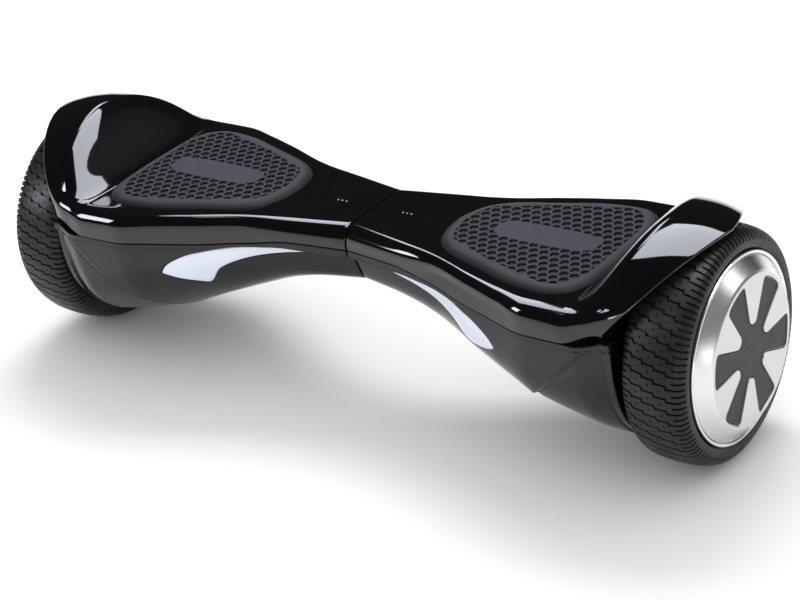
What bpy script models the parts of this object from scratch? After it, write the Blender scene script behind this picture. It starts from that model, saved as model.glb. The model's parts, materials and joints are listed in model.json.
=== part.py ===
# Self-balancing hoverboard: two foot decks that twist about a hollow centre shaft,
# each with a hub-motor wheel.  Metres.  X runs along the wheel axis, -Y is the front
# (lamp side), Z is up; the origin is on the ground under the centre of the board.
# Each half is described on the +X side; side = -1 mirrors it to the left half.
import bpy
import bmesh
import numpy as np
from mathutils import Vector

# ------------------------------------------------------------------ main dimensions
WHEEL_R = 0.0825          # 6.5 inch tyre
AXLE_Z = WHEEL_R
HUB = (0.0, AXLE_Z)       # (y, z) of the wheel axis
PIVOT_Z = 0.104
PIVOT = (0.0, PIVOT_Z)    # (y, z) of the centre twist axis
HALF_SLIT = 0.0008        # half of the slit between the two decks
WALL = 0.0026             # cover wall
DECK_Z = 0.1350           # top of the deck
FENDER_X = 0.207          # where the fender starts to rise
SIDE_X = 0.236            # outer end of the deck body
END_X = 0.2356            # outer face of the cover walls beside the wheel
AXLE_BORE = 0.0083        # radius of the holes the axle passes through

CLAMP_X = (0.1992, 0.2280)
CLAMP_MID_X = sum(CLAMP_X) / 2
CLAMP_HALF_Y = 0.024
CLAMP_SCREW_YS = (-0.0170, 0.0170)
COVER_SCREW = (0.105, 0.030)     # (x, y) of the bottom cover screw
SCREW_HOLE_R = 0.0022
SCREW_TIP_Z = 0.0965
SENSOR_XS = (0.100, 0.180)       # pegs of the foot mat and the sensors under them
BUTTON_XZ = (0.198, 0.093)       # power button, and mirrored the charge port
BUTTON_X, BUTTON_Z = BUTTON_XZ
REAR_Y = 0.0878                  # face the button and the charge port sit in

for old_object in list(bpy.data.objects):
    bpy.data.objects.remove(old_object)


# ------------------------------------------------------------------ curves and outlines
def curve(x, stations):
    """Smooth monotone curve through the (x, value) stations, held at both ends."""
    knots, values = np.array(stations, float).T
    widths = np.diff(knots)
    slopes = np.diff(values) / widths
    tangents = np.zeros(len(knots))
    tangents[0], tangents[-1] = slopes[0], slopes[-1]
    for i in range(1, len(knots) - 1):
        before, after = slopes[i - 1], slopes[i]
        if before * after > 0:
            weight_before = 2 * widths[i] + widths[i - 1]
            weight_after = widths[i] + 2 * widths[i - 1]
            tangents[i] = ((weight_before + weight_after)
                           / (weight_before / before + weight_after / after))
    x = np.clip(np.asarray(x, float), knots[0], knots[-1])
    k = np.clip(np.searchsorted(knots, x) - 1, 0, len(widths) - 1)
    u = (x - knots[k]) / widths[k]
    return ((2 * u**3 - 3 * u**2 + 1) * values[k]
            + (u**3 - 2 * u**2 + u) * widths[k] * tangents[k]
            + (3 * u**2 - 2 * u**3) * values[k + 1]
            + (u**3 - u**2) * widths[k] * tangents[k + 1])


def smooth(u):
    """S-curve from 0 to 1."""
    u = np.clip(u, 0, 1)
    return u * u * (3 - 2 * u)


def closed_spline(points, steps):
    """Closed Catmull-Rom curve through the points, with some steps per span."""
    points = np.array(points, float)
    out = []
    for i in range(len(points)):
        a, b, c, d = (points[(i + k) % len(points)] for k in (-1, 0, 1, 2))
        for k in range(steps):
            t = k / steps
            out.append(0.5 * (2 * b + (c - a) * t + (2 * a - 5 * b + 4 * c - d) * t**2
                              + (3 * b - a - 3 * c + d) * t**3))
    return np.array(out)


def right_normals(tangents):
    """Unit normals to the right of plane tangents."""
    normals = np.stack([tangents[:, 1], -tangents[:, 0]], 1)
    return normals / np.linalg.norm(normals, axis=1)[:, None]


def grow(outline, distance):
    """Offset a closed outline outwards, whichever way round it runs."""
    points = np.array(outline)
    following = np.roll(points, -1, 0)
    normals = right_normals(following - np.roll(points, 1, 0))
    area = 0.5 * np.sum(points[:, 0] * following[:, 1] - following[:, 0] * points[:, 1])
    return points + normals * distance * np.sign(area)


def both_sides(y, z):
    """(y, z) section from the front edge to the centre line and on to the rear edge."""
    return np.concatenate([np.stack([-y, z], 1), np.stack([y, z], 1)[::-1][1:]])


def about_axle(x, radius, angle):
    """Points at a radius about the axle, angle from straight up towards +Y."""
    y = radius * np.sin(angle)
    z = AXLE_Z + radius * np.cos(angle)
    return np.stack(np.broadcast_arrays(x, y, z), -1)


# ------------------------------------------------------------------ solids
def mesh_object(name, verts, faces, side=1):
    verts = np.array(verts, float)
    verts[:, 0] *= side
    mesh = bpy.data.meshes.new(name)
    mesh.from_pydata([tuple(v) for v in verts], [], [tuple(f) for f in faces])
    bm = bmesh.new()
    bm.from_mesh(mesh)
    bmesh.ops.remove_doubles(bm, verts=bm.verts, dist=1e-6)
    bmesh.ops.recalc_face_normals(bm, faces=bm.faces)
    if bm.calc_volume(signed=True) < 0:
        bmesh.ops.reverse_faces(bm, faces=bm.faces)
    bm.to_mesh(mesh)
    bm.free()
    obj = bpy.data.objects.new(name, mesh)
    bpy.context.scene.collection.objects.link(obj)
    return obj


def combine(obj, other, operation):
    """Boolean with a second solid, which is used up."""
    modifier = obj.modifiers.new("boolean", "BOOLEAN")
    modifier.operation = operation
    modifier.solver = "EXACT"
    modifier.object = other
    bpy.context.view_layer.update()
    depsgraph = bpy.context.evaluated_depsgraph_get()
    mesh = bpy.data.meshes.new_from_object(obj.evaluated_get(depsgraph))
    obj.modifiers.clear()
    old_mesh = obj.data
    obj.data = mesh
    bpy.data.meshes.remove(old_mesh)
    bpy.data.objects.remove(other)
    bm = bmesh.new()
    bm.from_mesh(mesh)
    bmesh.ops.remove_doubles(bm, verts=bm.verts, dist=2e-6)
    bmesh.ops.dissolve_degenerate(bm, edges=bm.edges, dist=2e-6)
    bm.to_mesh(mesh)
    bm.free()
    return obj


def cut(obj, other):
    return combine(obj, other, "DIFFERENCE")


def join(obj, other):
    return combine(obj, other, "UNION")


def loft(name, loops, side=1):
    """Closed solid through equal closed loops, capped at both ends."""
    rows, count = len(loops), len(loops[0])
    faces = []
    for i in range(rows - 1):
        for j in range(count):
            k = (j + 1) % count
            faces.append((i * count + j, i * count + k,
                          (i + 1) * count + k, (i + 1) * count + j))
    faces.append(tuple(range(count)))
    faces.append(tuple((rows - 1) * count + j for j in range(count)))
    return mesh_object(name, np.concatenate(loops), faces, side)


def sheet(name, outer, inner, side=1):
    """Closed thick sheet between two equal grids of points."""
    outer, inner = np.array(outer), np.array(inner)
    rows, columns = outer.shape[:2]
    index = np.arange(rows * columns).reshape(rows, columns)
    under = index + rows * columns
    faces = []
    for i in range(rows - 1):
        for j in range(columns - 1):
            faces.append((index[i, j], index[i, j + 1], index[i + 1, j + 1], index[i + 1, j]))
            faces.append((under[i, j], under[i + 1, j], under[i + 1, j + 1], under[i, j + 1]))
    for i in range(rows - 1):
        for j in (0, columns - 1):
            faces.append((index[i, j], index[i + 1, j], under[i + 1, j], under[i, j]))
    for j in range(columns - 1):
        for i in (0, rows - 1):
            faces.append((index[i, j], index[i, j + 1], under[i, j + 1], under[i, j]))
    verts = np.concatenate([outer.reshape(-1, 3), inner.reshape(-1, 3)])
    return mesh_object(name, verts, np.array(faces).tolist(), side)


def revolve(name, profile, segments, side=1, centre=HUB, along="x"):
    """Turn a closed (axial, radius) profile about an axis along x, y or z.

    centre holds the other two coordinates of the axis, in x, y, z order.
    """
    angles = np.arange(segments) * 2 * np.pi / segments
    verts, rings = [], []
    for axial, radius in profile:
        if radius < 1e-7:
            rings.append([len(verts)] * segments)
            verts.append((axial, 0.0, 0.0))
        else:
            rings.append([len(verts) + k for k in range(segments)])
            verts += [(axial, radius * np.cos(t), radius * np.sin(t)) for t in angles]
    faces = []
    for ring, following in zip(rings, rings[1:] + rings[:1]):
        if ring[0] == ring[1] and following[0] == following[1]:
            continue
        for k in range(segments):
            after = (k + 1) % segments
            corners = (ring[k], ring[after], following[after], following[k])
            faces.append(tuple(dict.fromkeys(corners)))
    verts = np.array(verts)
    verts = np.insert(verts[:, 1:] + centre, "xyz".index(along), verts[:, 0], axis=1)
    return mesh_object(name, verts, faces, side)


def stepped(name, start, steps, segments, side=1, centre=HUB, along="x"):
    """Solid round bar in steps of (end, radius), the first one from start."""
    profile = [(start, 0)]
    for end, radius in steps:
        profile += [(start, radius), (end, radius)]
        start = end
    profile.append((start, 0))
    return revolve(name, profile, segments, side, centre, along)


def cylinder(name, start, end, radius, segments=24, side=1, centre=HUB, along="x"):
    return stepped(name, start, [(end, radius)], segments, side, centre, along)


def tube(name, start, end, radius, bore, segments=24, side=1, centre=HUB):
    """Hollow cylinder along X."""
    profile = [(start, bore), (start, radius), (end, radius), (end, bore)]
    return revolve(name, profile, segments, side, centre)


def prism(name, outline, start, end, side=1, along="z"):
    """Straight solid with an outline given in the other two axes."""
    place = "xyz".index(along)
    return loft(name, [np.insert(outline, place, at, axis=1) for at in (start, end)], side)


def box(name, low, high, side=1):
    (x0, y0, z0), (x1, y1, z1) = low, high
    return prism(name, [(y0, z0), (y1, z0), (y1, z1), (y0, z1)], x0, x1, side, "x")


# ------------------------------------------------------------------ materials
def material(name, colour, roughness, metallic=0.0):
    new = bpy.data.materials.new(name)
    new.use_nodes = True
    inputs = new.node_tree.nodes["Principled BSDF"].inputs
    inputs["Base Color"].default_value = (*colour, 1)
    inputs["Roughness"].default_value = roughness
    inputs["Metallic"].default_value = metallic
    return new


GLOSS = material("cover_top", colour=(0.008, 0.008, 0.009), roughness=0.12)
LOWER = material("cover_bottom", colour=(0.012, 0.012, 0.013), roughness=0.30)
RUBBER = material("mat_rubber", colour=(0.045, 0.052, 0.062), roughness=0.85)
TYRE = material("tyre", colour=(0.015, 0.015, 0.016), roughness=0.85)
SATIN = material("hub_satin", colour=(0.62, 0.62, 0.62), roughness=0.35, metallic=1.0)
POLISH = material("rim_polished", colour=(0.75, 0.75, 0.76), roughness=0.15, metallic=1.0)
DARK = material("insert_dark", colour=(0.03, 0.03, 0.033), roughness=0.6)
LENS = material("lens", colour=(0.75, 0.82, 0.92), roughness=0.2)
STEEL = material("steel", colour=(0.45, 0.45, 0.46), roughness=0.35, metallic=1.0)
CASTING = material("casting", colour=(0.55, 0.56, 0.57), roughness=0.5, metallic=1.0)
BOARD = material("board", colour=(0.02, 0.12, 0.05), roughness=0.5)
COPPER = material("winding", colour=(0.55, 0.22, 0.08), roughness=0.4, metallic=1.0)
PLASTIC = material("black_plastic", colour=(0.02, 0.02, 0.02), roughness=0.5)
BRONZE = material("bush", colour=(0.50, 0.33, 0.14), roughness=0.4, metallic=1.0)
CELL = material("battery", colour=(0.02, 0.10, 0.30), roughness=0.5)

SHARP_ANGLE = np.radians(35)
BODIES = {}               # body name: the objects that move together


def put(body, obj, look):
    """Give a piece its material and shading and add it to a moving body."""
    obj.data.materials.clear()
    obj.data.materials.append(look)
    bm = bmesh.new()
    bm.from_mesh(obj.data)
    for face in bm.faces:
        face.smooth = True
    for edge in bm.edges:
        edge.smooth = len(edge.link_faces) == 2 and edge.calc_face_angle(0.0) < SHARP_ANGLE
    bm.to_mesh(obj.data)
    bm.free()
    BODIES.setdefault(body, []).append(obj)


# ------------------------------------------------------------------ foot mat
MAT_TOP = 0.1385          # top of the raised foot mat
MAT_BEVEL = 0.0085        # width of its sloping border
MAT_GAP = 0.0004          # clearance to the top cover
FLANGE_WIDTH = 0.0030     # flange under the cover, cut off at FLANGE_END_X
FLANGE_END_X = 0.2112
FLANGE_THICK = 0.0015
PEG_BOTTOM_Z = 0.1138

# (x, y) of the rear half of the mat, from its inner end to its outer end
MAT_HALF = [
    (0.0690, 0.0), (0.0705, 0.0125), (0.0765, 0.0280), (0.0880, 0.0385), (0.1010, 0.0452),
    (0.1260, 0.0540), (0.1520, 0.0632), (0.1740, 0.0668), (0.1890, 0.0658),
    (0.2005, 0.0580), (0.2065, 0.0450), (0.2090, 0.0240), (0.2096, 0.0)]
MAT_OUTLINE = closed_spline([(x, -y) for x, y in MAT_HALF] + MAT_HALF[-2:0:-1], 2)


def foot_mat(name, side):
    flange = grow(MAT_OUTLINE, FLANGE_WIDTH)
    flange[:, 0] = np.minimum(flange[:, 0], FLANGE_END_X)
    flange_z = DECK_Z - WALL - MAT_GAP
    middle = MAT_OUTLINE.mean(axis=0)
    spokes = MAT_OUTLINE - middle
    crown = middle + spokes * (1 - MAT_BEVEL / np.linalg.norm(spokes, axis=1)[:, None])
    levels = [(flange, flange_z - FLANGE_THICK), (flange, flange_z), (MAT_OUTLINE, flange_z),
              (MAT_OUTLINE, DECK_Z), (crown, MAT_TOP)]
    mat = loft(name, [np.insert(outline, 2, z, axis=1) for outline, z in levels], side)
    for x in SENSOR_XS:
        join(mat, box("peg", (x - 0.004, -0.001, PEG_BOTTOM_Z),
                      (x + 0.004, 0.001, flange_z - 0.0010), side))
    return mat


# ------------------------------------------------------------------ top cover
LIP_X = 0.291             # fender lip over the middle of the tyre
LIP_R = 0.0905            # fender lip radius about the axle
CREST_R = 0.0955          # fender crest radius about the axle
CREST_AT = 0.54           # place of the crest from deck (0) to lip (1)
FENDER_ANGLE = np.radians(65.0)   # angle about the axle where the lip is back at SIDE_X
FENDER_NARROWING = 1.09   # how much less angle the lip covers than the fender root

SIDE_STEPS = np.linspace(0, 1, 6)                # parting line to deck flat
FLAT_STEPS = np.array([0.33, 0.62, 0.85, 1.0])   # edge of the deck flat to its middle
DECK_ROWS = np.array([HALF_SLIT, 0.035, 0.065, 0.09, 0.12, 0.15, 0.182, FENDER_X])
FENDER_STEPS = np.array([0.08, 0.16, 0.25, 0.34, 0.44, CREST_AT, 0.70, 0.86, 1.0])

ARCH_BOTTOM_R = 0.0365    # lower edge of the arch wall about the axle
ARCH_BOTTOM_DEG = 61
ARCH_CORNER = (0.0812, 0.1205)    # (y, z) of its outer lower corners
ARCH_INSET = 0.0013       # arch wall below the outer skin
OPENING_Z = (0.128, 0.140)        # cutters through the deck
WINDOW_XS = (0.0250, 0.0286, 0.0322)
WINDOW_HOLE_R = 0.0016

# (x, half width) and (x, height) of the line where top and bottom covers meet
PARTING_Y = [(0, 0.0385), (0.046, 0.047), (0.078, 0.0525), (0.12, 0.0685), (0.15, 0.0795),
             (0.178, 0.0885), (0.215, 0.0895), (0.236, 0.0835)]
PARTING_Z = [(0, 0.118), (0.046, 0.1195), (0.08, 0.1155), (0.12, 0.114), (0.215, 0.1145),
             (0.236, 0.119)]
# (x, half width) of the flat of the deck
FLAT_Y = [(0, 0.026), (0.0625, 0.039), (0.093, 0.047), (0.12, 0.057), (0.15, 0.066),
          (0.18, 0.071), (0.236, 0.072)]
# (x, superellipse power) of the rounded deck edge
CORNER_POWER = [(0, 2.5), (0.06, 2.8), (0.10, 3.6), (0.16, 3.8), (0.236, 3.0)]


def top_section(x):
    """Outer skin, (y, z) from the front parting line over the deck to the rear one."""
    parting_z, flat = curve(x, PARTING_Z), curve(x, FLAT_Y)
    power = 2 / curve(x, CORNER_POWER)
    angle = SIDE_STEPS * np.pi / 2
    y = flat + (curve(x, PARTING_Y) - flat) * np.cos(angle) ** power
    z = parting_z + (DECK_Z - parting_z) * np.sin(angle) ** power
    return both_sides(np.concatenate([y, flat * (1 - FLAT_STEPS)]),
                      np.concatenate([z, np.full(len(FLAT_STEPS), DECK_Z)]))


def lip_x(angle):
    """The lip sweeps back from LIP_X over the tyre to SIDE_X at the flanks."""
    return LIP_X - (LIP_X - SIDE_X) * (np.abs(angle) / FENDER_ANGLE) ** 1.55


def fender_radius(step, angle, root_r):
    """Radius about the axle along fender meridians, step 0 at the deck and 1 at the lip."""
    around = np.minimum(np.abs(angle) / FENDER_ANGLE, 1.0)
    top = CREST_R - 0.002 * around**2
    flank = root_r - 0.0015
    # soft maximum of the two radii, blended over 2 mm
    crest = 0.5 * (top + flank + np.hypot(top - flank, 0.002))
    if step < CREST_AT:
        return root_r + (crest - root_r) * smooth((step / CREST_AT) ** 0.85)
    # the lip is lowest in the middle and lifts again at the flanks
    lip = LIP_R - 0.0018 * (1 - np.clip(around * 1.6, 0, 1)) + 0.0006 * around**4
    return crest + (lip - crest) * ((step - CREST_AT) / (1 - CREST_AT)) ** 2.4


def top_skin():
    """Grid of outer skin points: rows run out along X, columns from front to rear."""
    rows = [np.insert(top_section(x), 0, x, axis=1) for x in DECK_ROWS]
    root_y, root_z = rows[-1][:, 1], rows[-1][:, 2] - AXLE_Z
    root_angle = np.arctan2(root_y, root_z)
    root_r = np.hypot(root_y, root_z)
    for step in FENDER_STEPS:
        angle = root_angle + (root_angle / FENDER_NARROWING - root_angle) * smooth(step)
        x = FENDER_X + step * (lip_x(angle) - FENDER_X)
        rows.append(about_axle(x, fender_radius(step, angle, root_r), angle))
    return np.array(rows)


def skin_normals(grid):
    """Unit normals of a grid of points, facing up on the deck."""
    normals = np.cross(np.gradient(grid, axis=0), np.gradient(grid, axis=1))
    normals /= np.linalg.norm(normals, axis=2)[..., None]
    deck_up = normals[:4, grid.shape[1] // 2, 2].mean()
    return normals if deck_up > 0 else -normals


def arch_wall(skin, side):
    """Inner wall of the wheel arch, hanging from the fender."""
    corner_y, corner_z = ARCH_CORNER
    bottom_angles = np.radians(np.linspace(ARCH_BOTTOM_DEG, -ARCH_BOTTOM_DEG, 9))
    loops = []
    for x in (END_X - WALL, END_X):
        section = []
        for j in range(skin.shape[1]):
            column = skin[len(DECK_ROWS) - 1:, j]
            column = column[np.argsort(column[:, 0])]
            section.append([np.interp(x, column[:, 0], column[:, k]) for k in (1, 2)])
        y, z = np.array(section).T
        upper = about_axle(x, np.hypot(y, z - AXLE_Z) - ARCH_INSET, np.arctan2(y, z - AXLE_Z))
        upper[0] = (x, -corner_y, corner_z)
        upper[-1] = (x, corner_y, corner_z)
        lower = about_axle(x, ARCH_BOTTOM_R, bottom_angles)
        loops.append(np.concatenate([upper, lower]))
    return loft("arch_wall", loops, side)


def top_cover(name, side):
    outer = top_skin()
    inner = outer - skin_normals(outer) * WALL
    # keep the slit face upright and the parting edges level
    inner[0, :, 0] = outer[0, :, 0]
    deck = slice(len(DECK_ROWS))
    for edge in (0, -1):
        inner[deck, edge, 2] = outer[deck, edge, 2]
    cover = sheet(name, outer, inner, side)
    join(cover, arch_wall(outer, side))
    cut(cover, prism("mat_opening", grow(MAT_OUTLINE, MAT_GAP), *OPENING_Z, side))
    for x in WINDOW_XS:
        cut(cover, cylinder("window", *OPENING_Z, WINDOW_HOLE_R, 8, side, (x, 0.0), "z"))
    return cover


def indicator_pipe(name, side):
    """Light bar under the deck with a pin up through each indicator window."""
    pipe = box(name, (0.0225, -0.004, 0.1290), (0.0350, 0.004, 0.1320), side)
    for x in WINDOW_XS:
        join(pipe, cylinder("pin", 0.1310, DECK_Z - 0.0001, 0.0012, 8, side, (x, 0.0), "z"))
    return pipe


# ------------------------------------------------------------------ bottom cover
RIM_GAP = 0.0006          # rim below the parting line
RIM_DROP = 0.0020         # further drop of the rim towards the wheel
LEDGE_STEP = 0.0035       # rim height above the ledge
RIM_INSET = 0.0002        # rim inside the parting line
AXLE_HOLE_R = 0.0340
AXLE_HOLE_DEG = 115       # how far round from straight down the hole edge reaches
BOSS_FILL_INSET = 0.0012  # trims the screw boss inside the skin
LOW_ROWS = np.array([*DECK_ROWS, END_X])

# (x, amount) by which the cover is narrower than the parting line, under the ledge
LEDGE_WIDTH = [(0, 0.0065), (0.05, 0.0040), (0.11, 0.0012), (0.236, 0.0003)]
# (x, height) of the keel
KEEL_Z = [(0, 0.083), (0.03, 0.081), (0.06, 0.0745), (0.09, 0.0635), (0.12, 0.052),
          (0.157, 0.0365), (0.19, 0.025), (0.236, 0.0125)]
# (x, superellipse power) of the belly, and (x, share) by which it narrows downwards
BELLY_POWER = [(0, 12.0), (0.06, 5.0), (0.12, 2.7), (0.236, 2.5)]
BELLY_TAPER = [(0, 0.36), (0.06, 0.20), (0.12, 0.03), (0.236, 0.0)]


def low_section(x, inset=0.0):
    """(y, z) from the front rim round the keel to the rear rim."""
    half_width = curve(x, PARTING_Y)
    rim_z = (curve(x, PARTING_Z) - RIM_GAP
             - RIM_DROP * smooth((x - FENDER_X) / (SIDE_X - FENDER_X)))
    ledge_z = rim_z - LEDGE_STEP
    angle = np.linspace(0.0, np.pi / 2, 7)
    depth = np.sin(angle) ** (2 / curve(x, BELLY_POWER))
    y = ((half_width - curve(x, LEDGE_WIDTH)) * (1 - curve(x, BELLY_TAPER) * depth)
         * np.cos(angle))
    y[-1] = 0.0
    belly = both_sides(y, ledge_z - depth * (ledge_z - curve(x, KEEL_Z)))
    rim_foot_z = ledge_z + 0.0005
    if inset:
        belly = belly - right_normals(np.gradient(belly, axis=0)) * inset
        belly[[0, -1], 1] = ledge_z + 0.0026
        rim_foot_z = rim_z - 0.0006
    rim_y = half_width - RIM_INSET - inset
    rim = np.array([(-rim_y, rim_z), (-rim_y, rim_foot_z)])
    return np.concatenate([rim, belly, rim[::-1] * [-1, 1]])


def low_skin(inset=0.0):
    """Sections out along X, then down the end wall to the edge of the axle hole."""
    rows = [np.insert(low_section(x, inset), 0, x, axis=1) for x in LOW_ROWS]
    end = rows[-1]
    end[:, 0] -= inset
    angle = np.arctan2(end[:, 1], -(end[:, 2] - AXLE_Z))
    angle *= np.radians(AXLE_HOLE_DEG) / np.abs(angle).max()
    # radius and angle are negated because this angle starts from straight down
    rows.append(about_axle(end[:, 0], -AXLE_HOLE_R, -angle))
    return rows


def rear_cylinder(name, start, end, radius, side):
    """Cylinder on the button axis, its ends measured along Y from the rear face."""
    return cylinder(name, REAR_Y + start, REAR_Y + end, radius, 20, side, BUTTON_XZ, "y")


def bottom_cover(name, side):
    cover = sheet(name, low_skin(), low_skin(WALL), side)
    # screw boss, trimmed to the inside of the shell and drilled from below
    boss = cylinder("boss", 0.040, 0.0885, 0.0058, 16, side, COVER_SCREW, "z")
    sections = [np.insert(low_section(x, BOSS_FILL_INSET), 0, x, axis=1) for x in DECK_ROWS]
    combine(boss, loft("fill", sections, side), "INTERSECT")
    join(cover, boss)
    cut(cover, cylinder("head_well", 0.030, 0.0845, 0.0043, 16, side, COVER_SCREW, "z"))
    cut(cover, cylinder("hole", 0.080, 0.0950, SCREW_HOLE_R, 12, side, COVER_SCREW, "z"))
    cut(cover, lens_cutter(side))
    # rear boss for the power button or the charge socket
    join(cover, rear_cylinder("boss", -0.0100, 0.0, 0.0125, side))
    cut(cover, rear_cylinder("recess", 0.0, 0.0200, 0.0108, side))
    cut(cover, rear_cylinder("hole", -0.030, 0.020, 0.0083, side))
    return cover


# ------------------------------------------------------------------ lamp
# Crescent lens in the front of the bottom cover.  Columns: step from the inner tip to
# the rounded outer end, then x and z of the upper edge, x and z of the lower edge.
LENS_EDGES = np.array([
    (0.00, 0.0290, 0.1117, 0.0300, 0.1108),
    (0.25, 0.0580, 0.1127, 0.0590, 0.1068),
    (0.50, 0.0880, 0.1112, 0.0875, 0.1000),
    (0.65, 0.1060, 0.1090, 0.1035, 0.0930),
    (0.78, 0.1215, 0.1060, 0.1155, 0.0795),
    (0.88, 0.1330, 0.1015, 0.1240, 0.0812),
    (0.95, 0.1420, 0.0957, 0.1345, 0.0838),
    (1.00, 0.1460, 0.0905, 0.1436, 0.0880)])
LENS_STEPS = np.array([0.0, 0.13, 0.27, 0.40, 0.52, 0.65, 0.78, 0.88, 0.95, 1.0])
LENS_SHRINK = 0.0005
LENS_HOLE_GROWTH = 0.0002
LENS_DEPTHS = (0.0002, 0.0024)    # outer and inner face, behind the cover skin
LAMP_BOARD_START = (0.050, -0.0325)    # (x, y) of the board's inner end
LAMP_BOARD_LENGTH = 0.078
LAMP_BOARD_HALF_THICK = 0.0006
LAMP_BOARD_ANGLE = np.arctan2(-0.026, 0.078)


def crescent(shrink):
    """Upper and lower (x, z) edges of the lens, drawn in by shrink."""
    upper_x, upper_z, lower_x, lower_z = (
        curve(LENS_STEPS, LENS_EDGES[:, [0, column]]) for column in (1, 2, 3, 4))
    upper = np.stack([upper_x, upper_z], 1)
    lower = np.stack([lower_x, lower_z], 1)
    across = upper - lower
    width = np.linalg.norm(across, axis=1)[:, None]
    shift = across / width * np.minimum(shrink, width * 0.3)
    upper, lower = upper - shift, lower + shift
    if shrink > 0:
        for edge in (upper, lower):
            edge[0, 0] += shrink
            edge[-1, 0] -= shrink
    return upper, lower


def cover_half_width(x, z):
    """Half width of the bottom cover's outer skin at a height."""
    section = low_section(x)
    rear = section[section[:, 0] >= 0]
    rear = rear[np.argsort(rear[:, 1])]
    return float(np.interp(z, rear[:, 1], rear[:, 0]))


def lamp_lens(name, side):
    faces = ([], [])
    for upper, lower in zip(*crescent(LENS_SHRINK)):
        points = [lower + (upper - lower) * share for share in np.linspace(0, 1, 4)]
        for face, depth in zip(faces, LENS_DEPTHS):
            face.append([(x, depth - cover_half_width(x, z), z) for x, z in points])
    return sheet(name, *faces, side)


def lens_cutter(side):
    upper, lower = crescent(-LENS_HOLE_GROWTH)
    return prism("lens_hole", np.concatenate([upper, lower[::-1]]), -0.100, -0.030, side, "y")


def lamp_board(name, side):
    """Upright board that slants forwards towards its outer end."""
    half = LAMP_BOARD_HALF_THICK
    lean = np.array([np.cos(LAMP_BOARD_ANGLE), np.sin(LAMP_BOARD_ANGLE)])
    across = np.array([-lean[1], lean[0]])
    outline = [LAMP_BOARD_START + lean * along + across * off for along, off in
               ((0, -half), (LAMP_BOARD_LENGTH, -half), (LAMP_BOARD_LENGTH, half), (0, half))]
    return prism(name, outline, 0.0965, 0.1080, side)


# ------------------------------------------------------------------ frame and fixings
PLATE_FRONT = [(0.030, -0.013), (0.058, -0.020), (0.090, -0.036), (0.1990, -0.036)]  # (x, y)
PLATE_Z = (0.0895, 0.0945)
RIB_BOTTOM_Z = 0.0935
PIVOT_BORE = {"left": 0.0103, "right": 0.0128}    # shaft fit, bush fit


def drill_clamp(obj, low_z, high_z, side):
    """Bore for the axle and the two clamp screw holes."""
    cut(obj, cylinder("bore", 0.190, 0.240, AXLE_BORE, 16, side))
    for y in CLAMP_SCREW_YS:
        cut(obj, cylinder("hole", low_z, high_z, 0.0030, 10, side, (CLAMP_MID_X, y), "z"))


def frame_casting(name, side, bore):
    outline = PLATE_FRONT + [(x, -y) for x, y in PLATE_FRONT[::-1]]
    frame = prism(name, outline, *PLATE_Z, side)
    # clamp block over the axle and barrel round the pivot shaft
    join(frame, box("block", (CLAMP_X[0] - 0.004, -CLAMP_HALF_Y, 0.0829),
                    (CLAMP_X[1], CLAMP_HALF_Y, 0.0985), side))
    join(frame, cylinder("barrel", 0.0035, 0.0600, 0.0150, 24, side, PIVOT))
    for y in (-0.0345, 0.0345):
        join(frame, box("long_rib", (0.092, y - 0.0015, RIB_BOTTOM_Z),
                        (0.1975, y + 0.0015, 0.1040), side))
    for x in (0.112, 0.168):
        join(frame, box("cross_rib", (x - 0.0015, -0.0350, RIB_BOTTOM_Z),
                        (x + 0.0015, 0.0350, 0.1005), side))
    for x in (0.090, 0.190):
        for y in (-0.017, 0.017):
            join(frame, cylinder("post", 0.0915, 0.1102, 0.0030, 8, side, (x, y), "z"))
    cut(frame, cylinder("bore", -0.001, 0.0605, bore, 24, side, PIVOT))
    cut(frame, cylinder("collar_room", 0.0602, 0.0740, 0.0162, 24, side, PIVOT))
    drill_clamp(frame, 0.075, 0.105, side)
    cut(frame, cylinder("hole", 0.080, 0.100, SCREW_HOLE_R, 12, side, COVER_SCREW, "z"))
    cut(frame, cylinder("plate_hole", 0.080, 0.100, 0.016, 16, side, (0.140, 0.0), "z"))
    return frame


def axle_clamp(name, side):
    clamp = box(name, (CLAMP_X[0], -CLAMP_HALF_Y, 0.0640),
                (CLAMP_X[1], CLAMP_HALF_Y, 0.0821), side)
    drill_clamp(clamp, 0.055, 0.095, side)
    return clamp


def clamp_screw(name, y, side):
    return stepped(name, 0.0595, [(0.0637, 0.0046), (SCREW_TIP_Z, 0.0027)], 10, side,
                   (CLAMP_MID_X, y), "z")


def cover_screw(name, side):
    return stepped(name, 0.0820, [(0.0842, 0.0038), (SCREW_TIP_Z, 0.0018)], 10, side,
                   COVER_SCREW, "z")


def gyro_board(name, side):
    board = box(name, (0.086, -0.022, 0.1105), (0.194, 0.022, 0.1121), side)
    for x in SENSOR_XS:
        for y in (-0.0045, 0.0045):
            join(board, box("sensor", (x - 0.006, y - 0.0025, 0.1115),
                            (x + 0.006, y + 0.0025, 0.1185), side))
    return join(board, box("block", (0.132, -0.012, 0.1115), (0.150, 0.012, 0.1150), side))


# ------------------------------------------------------------------ wheel
TYRE_IN, TYRE_OUT = 0.2444, 0.2912
RIM_R = 0.0669
FACE_X = 0.3000           # face of the hub cap
POCKET_X = 0.2984         # floor of the petal pocket in the hub cap
INSERT_GAP = 0.0002       # round and under the petal insert
PETAL_R = 0.0510
PETAL_HALF = np.radians(14.5)     # half width of a petal
PETAL_STEP = np.pi / 3
FIRST_PETAL = np.radians(50.0)
TONGUE_R = 0.0050         # rounded tip of the metal tongue between two petals
TONGUE_AT = 0.0240        # radius of the centre of that tip
CORNER_LENGTH = 0.0038    # petal corner rounding along the straight edge
CORNER_ANGLE = 0.078      # and along the outer edge, radians
CORNER_STEPS = 3

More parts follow.
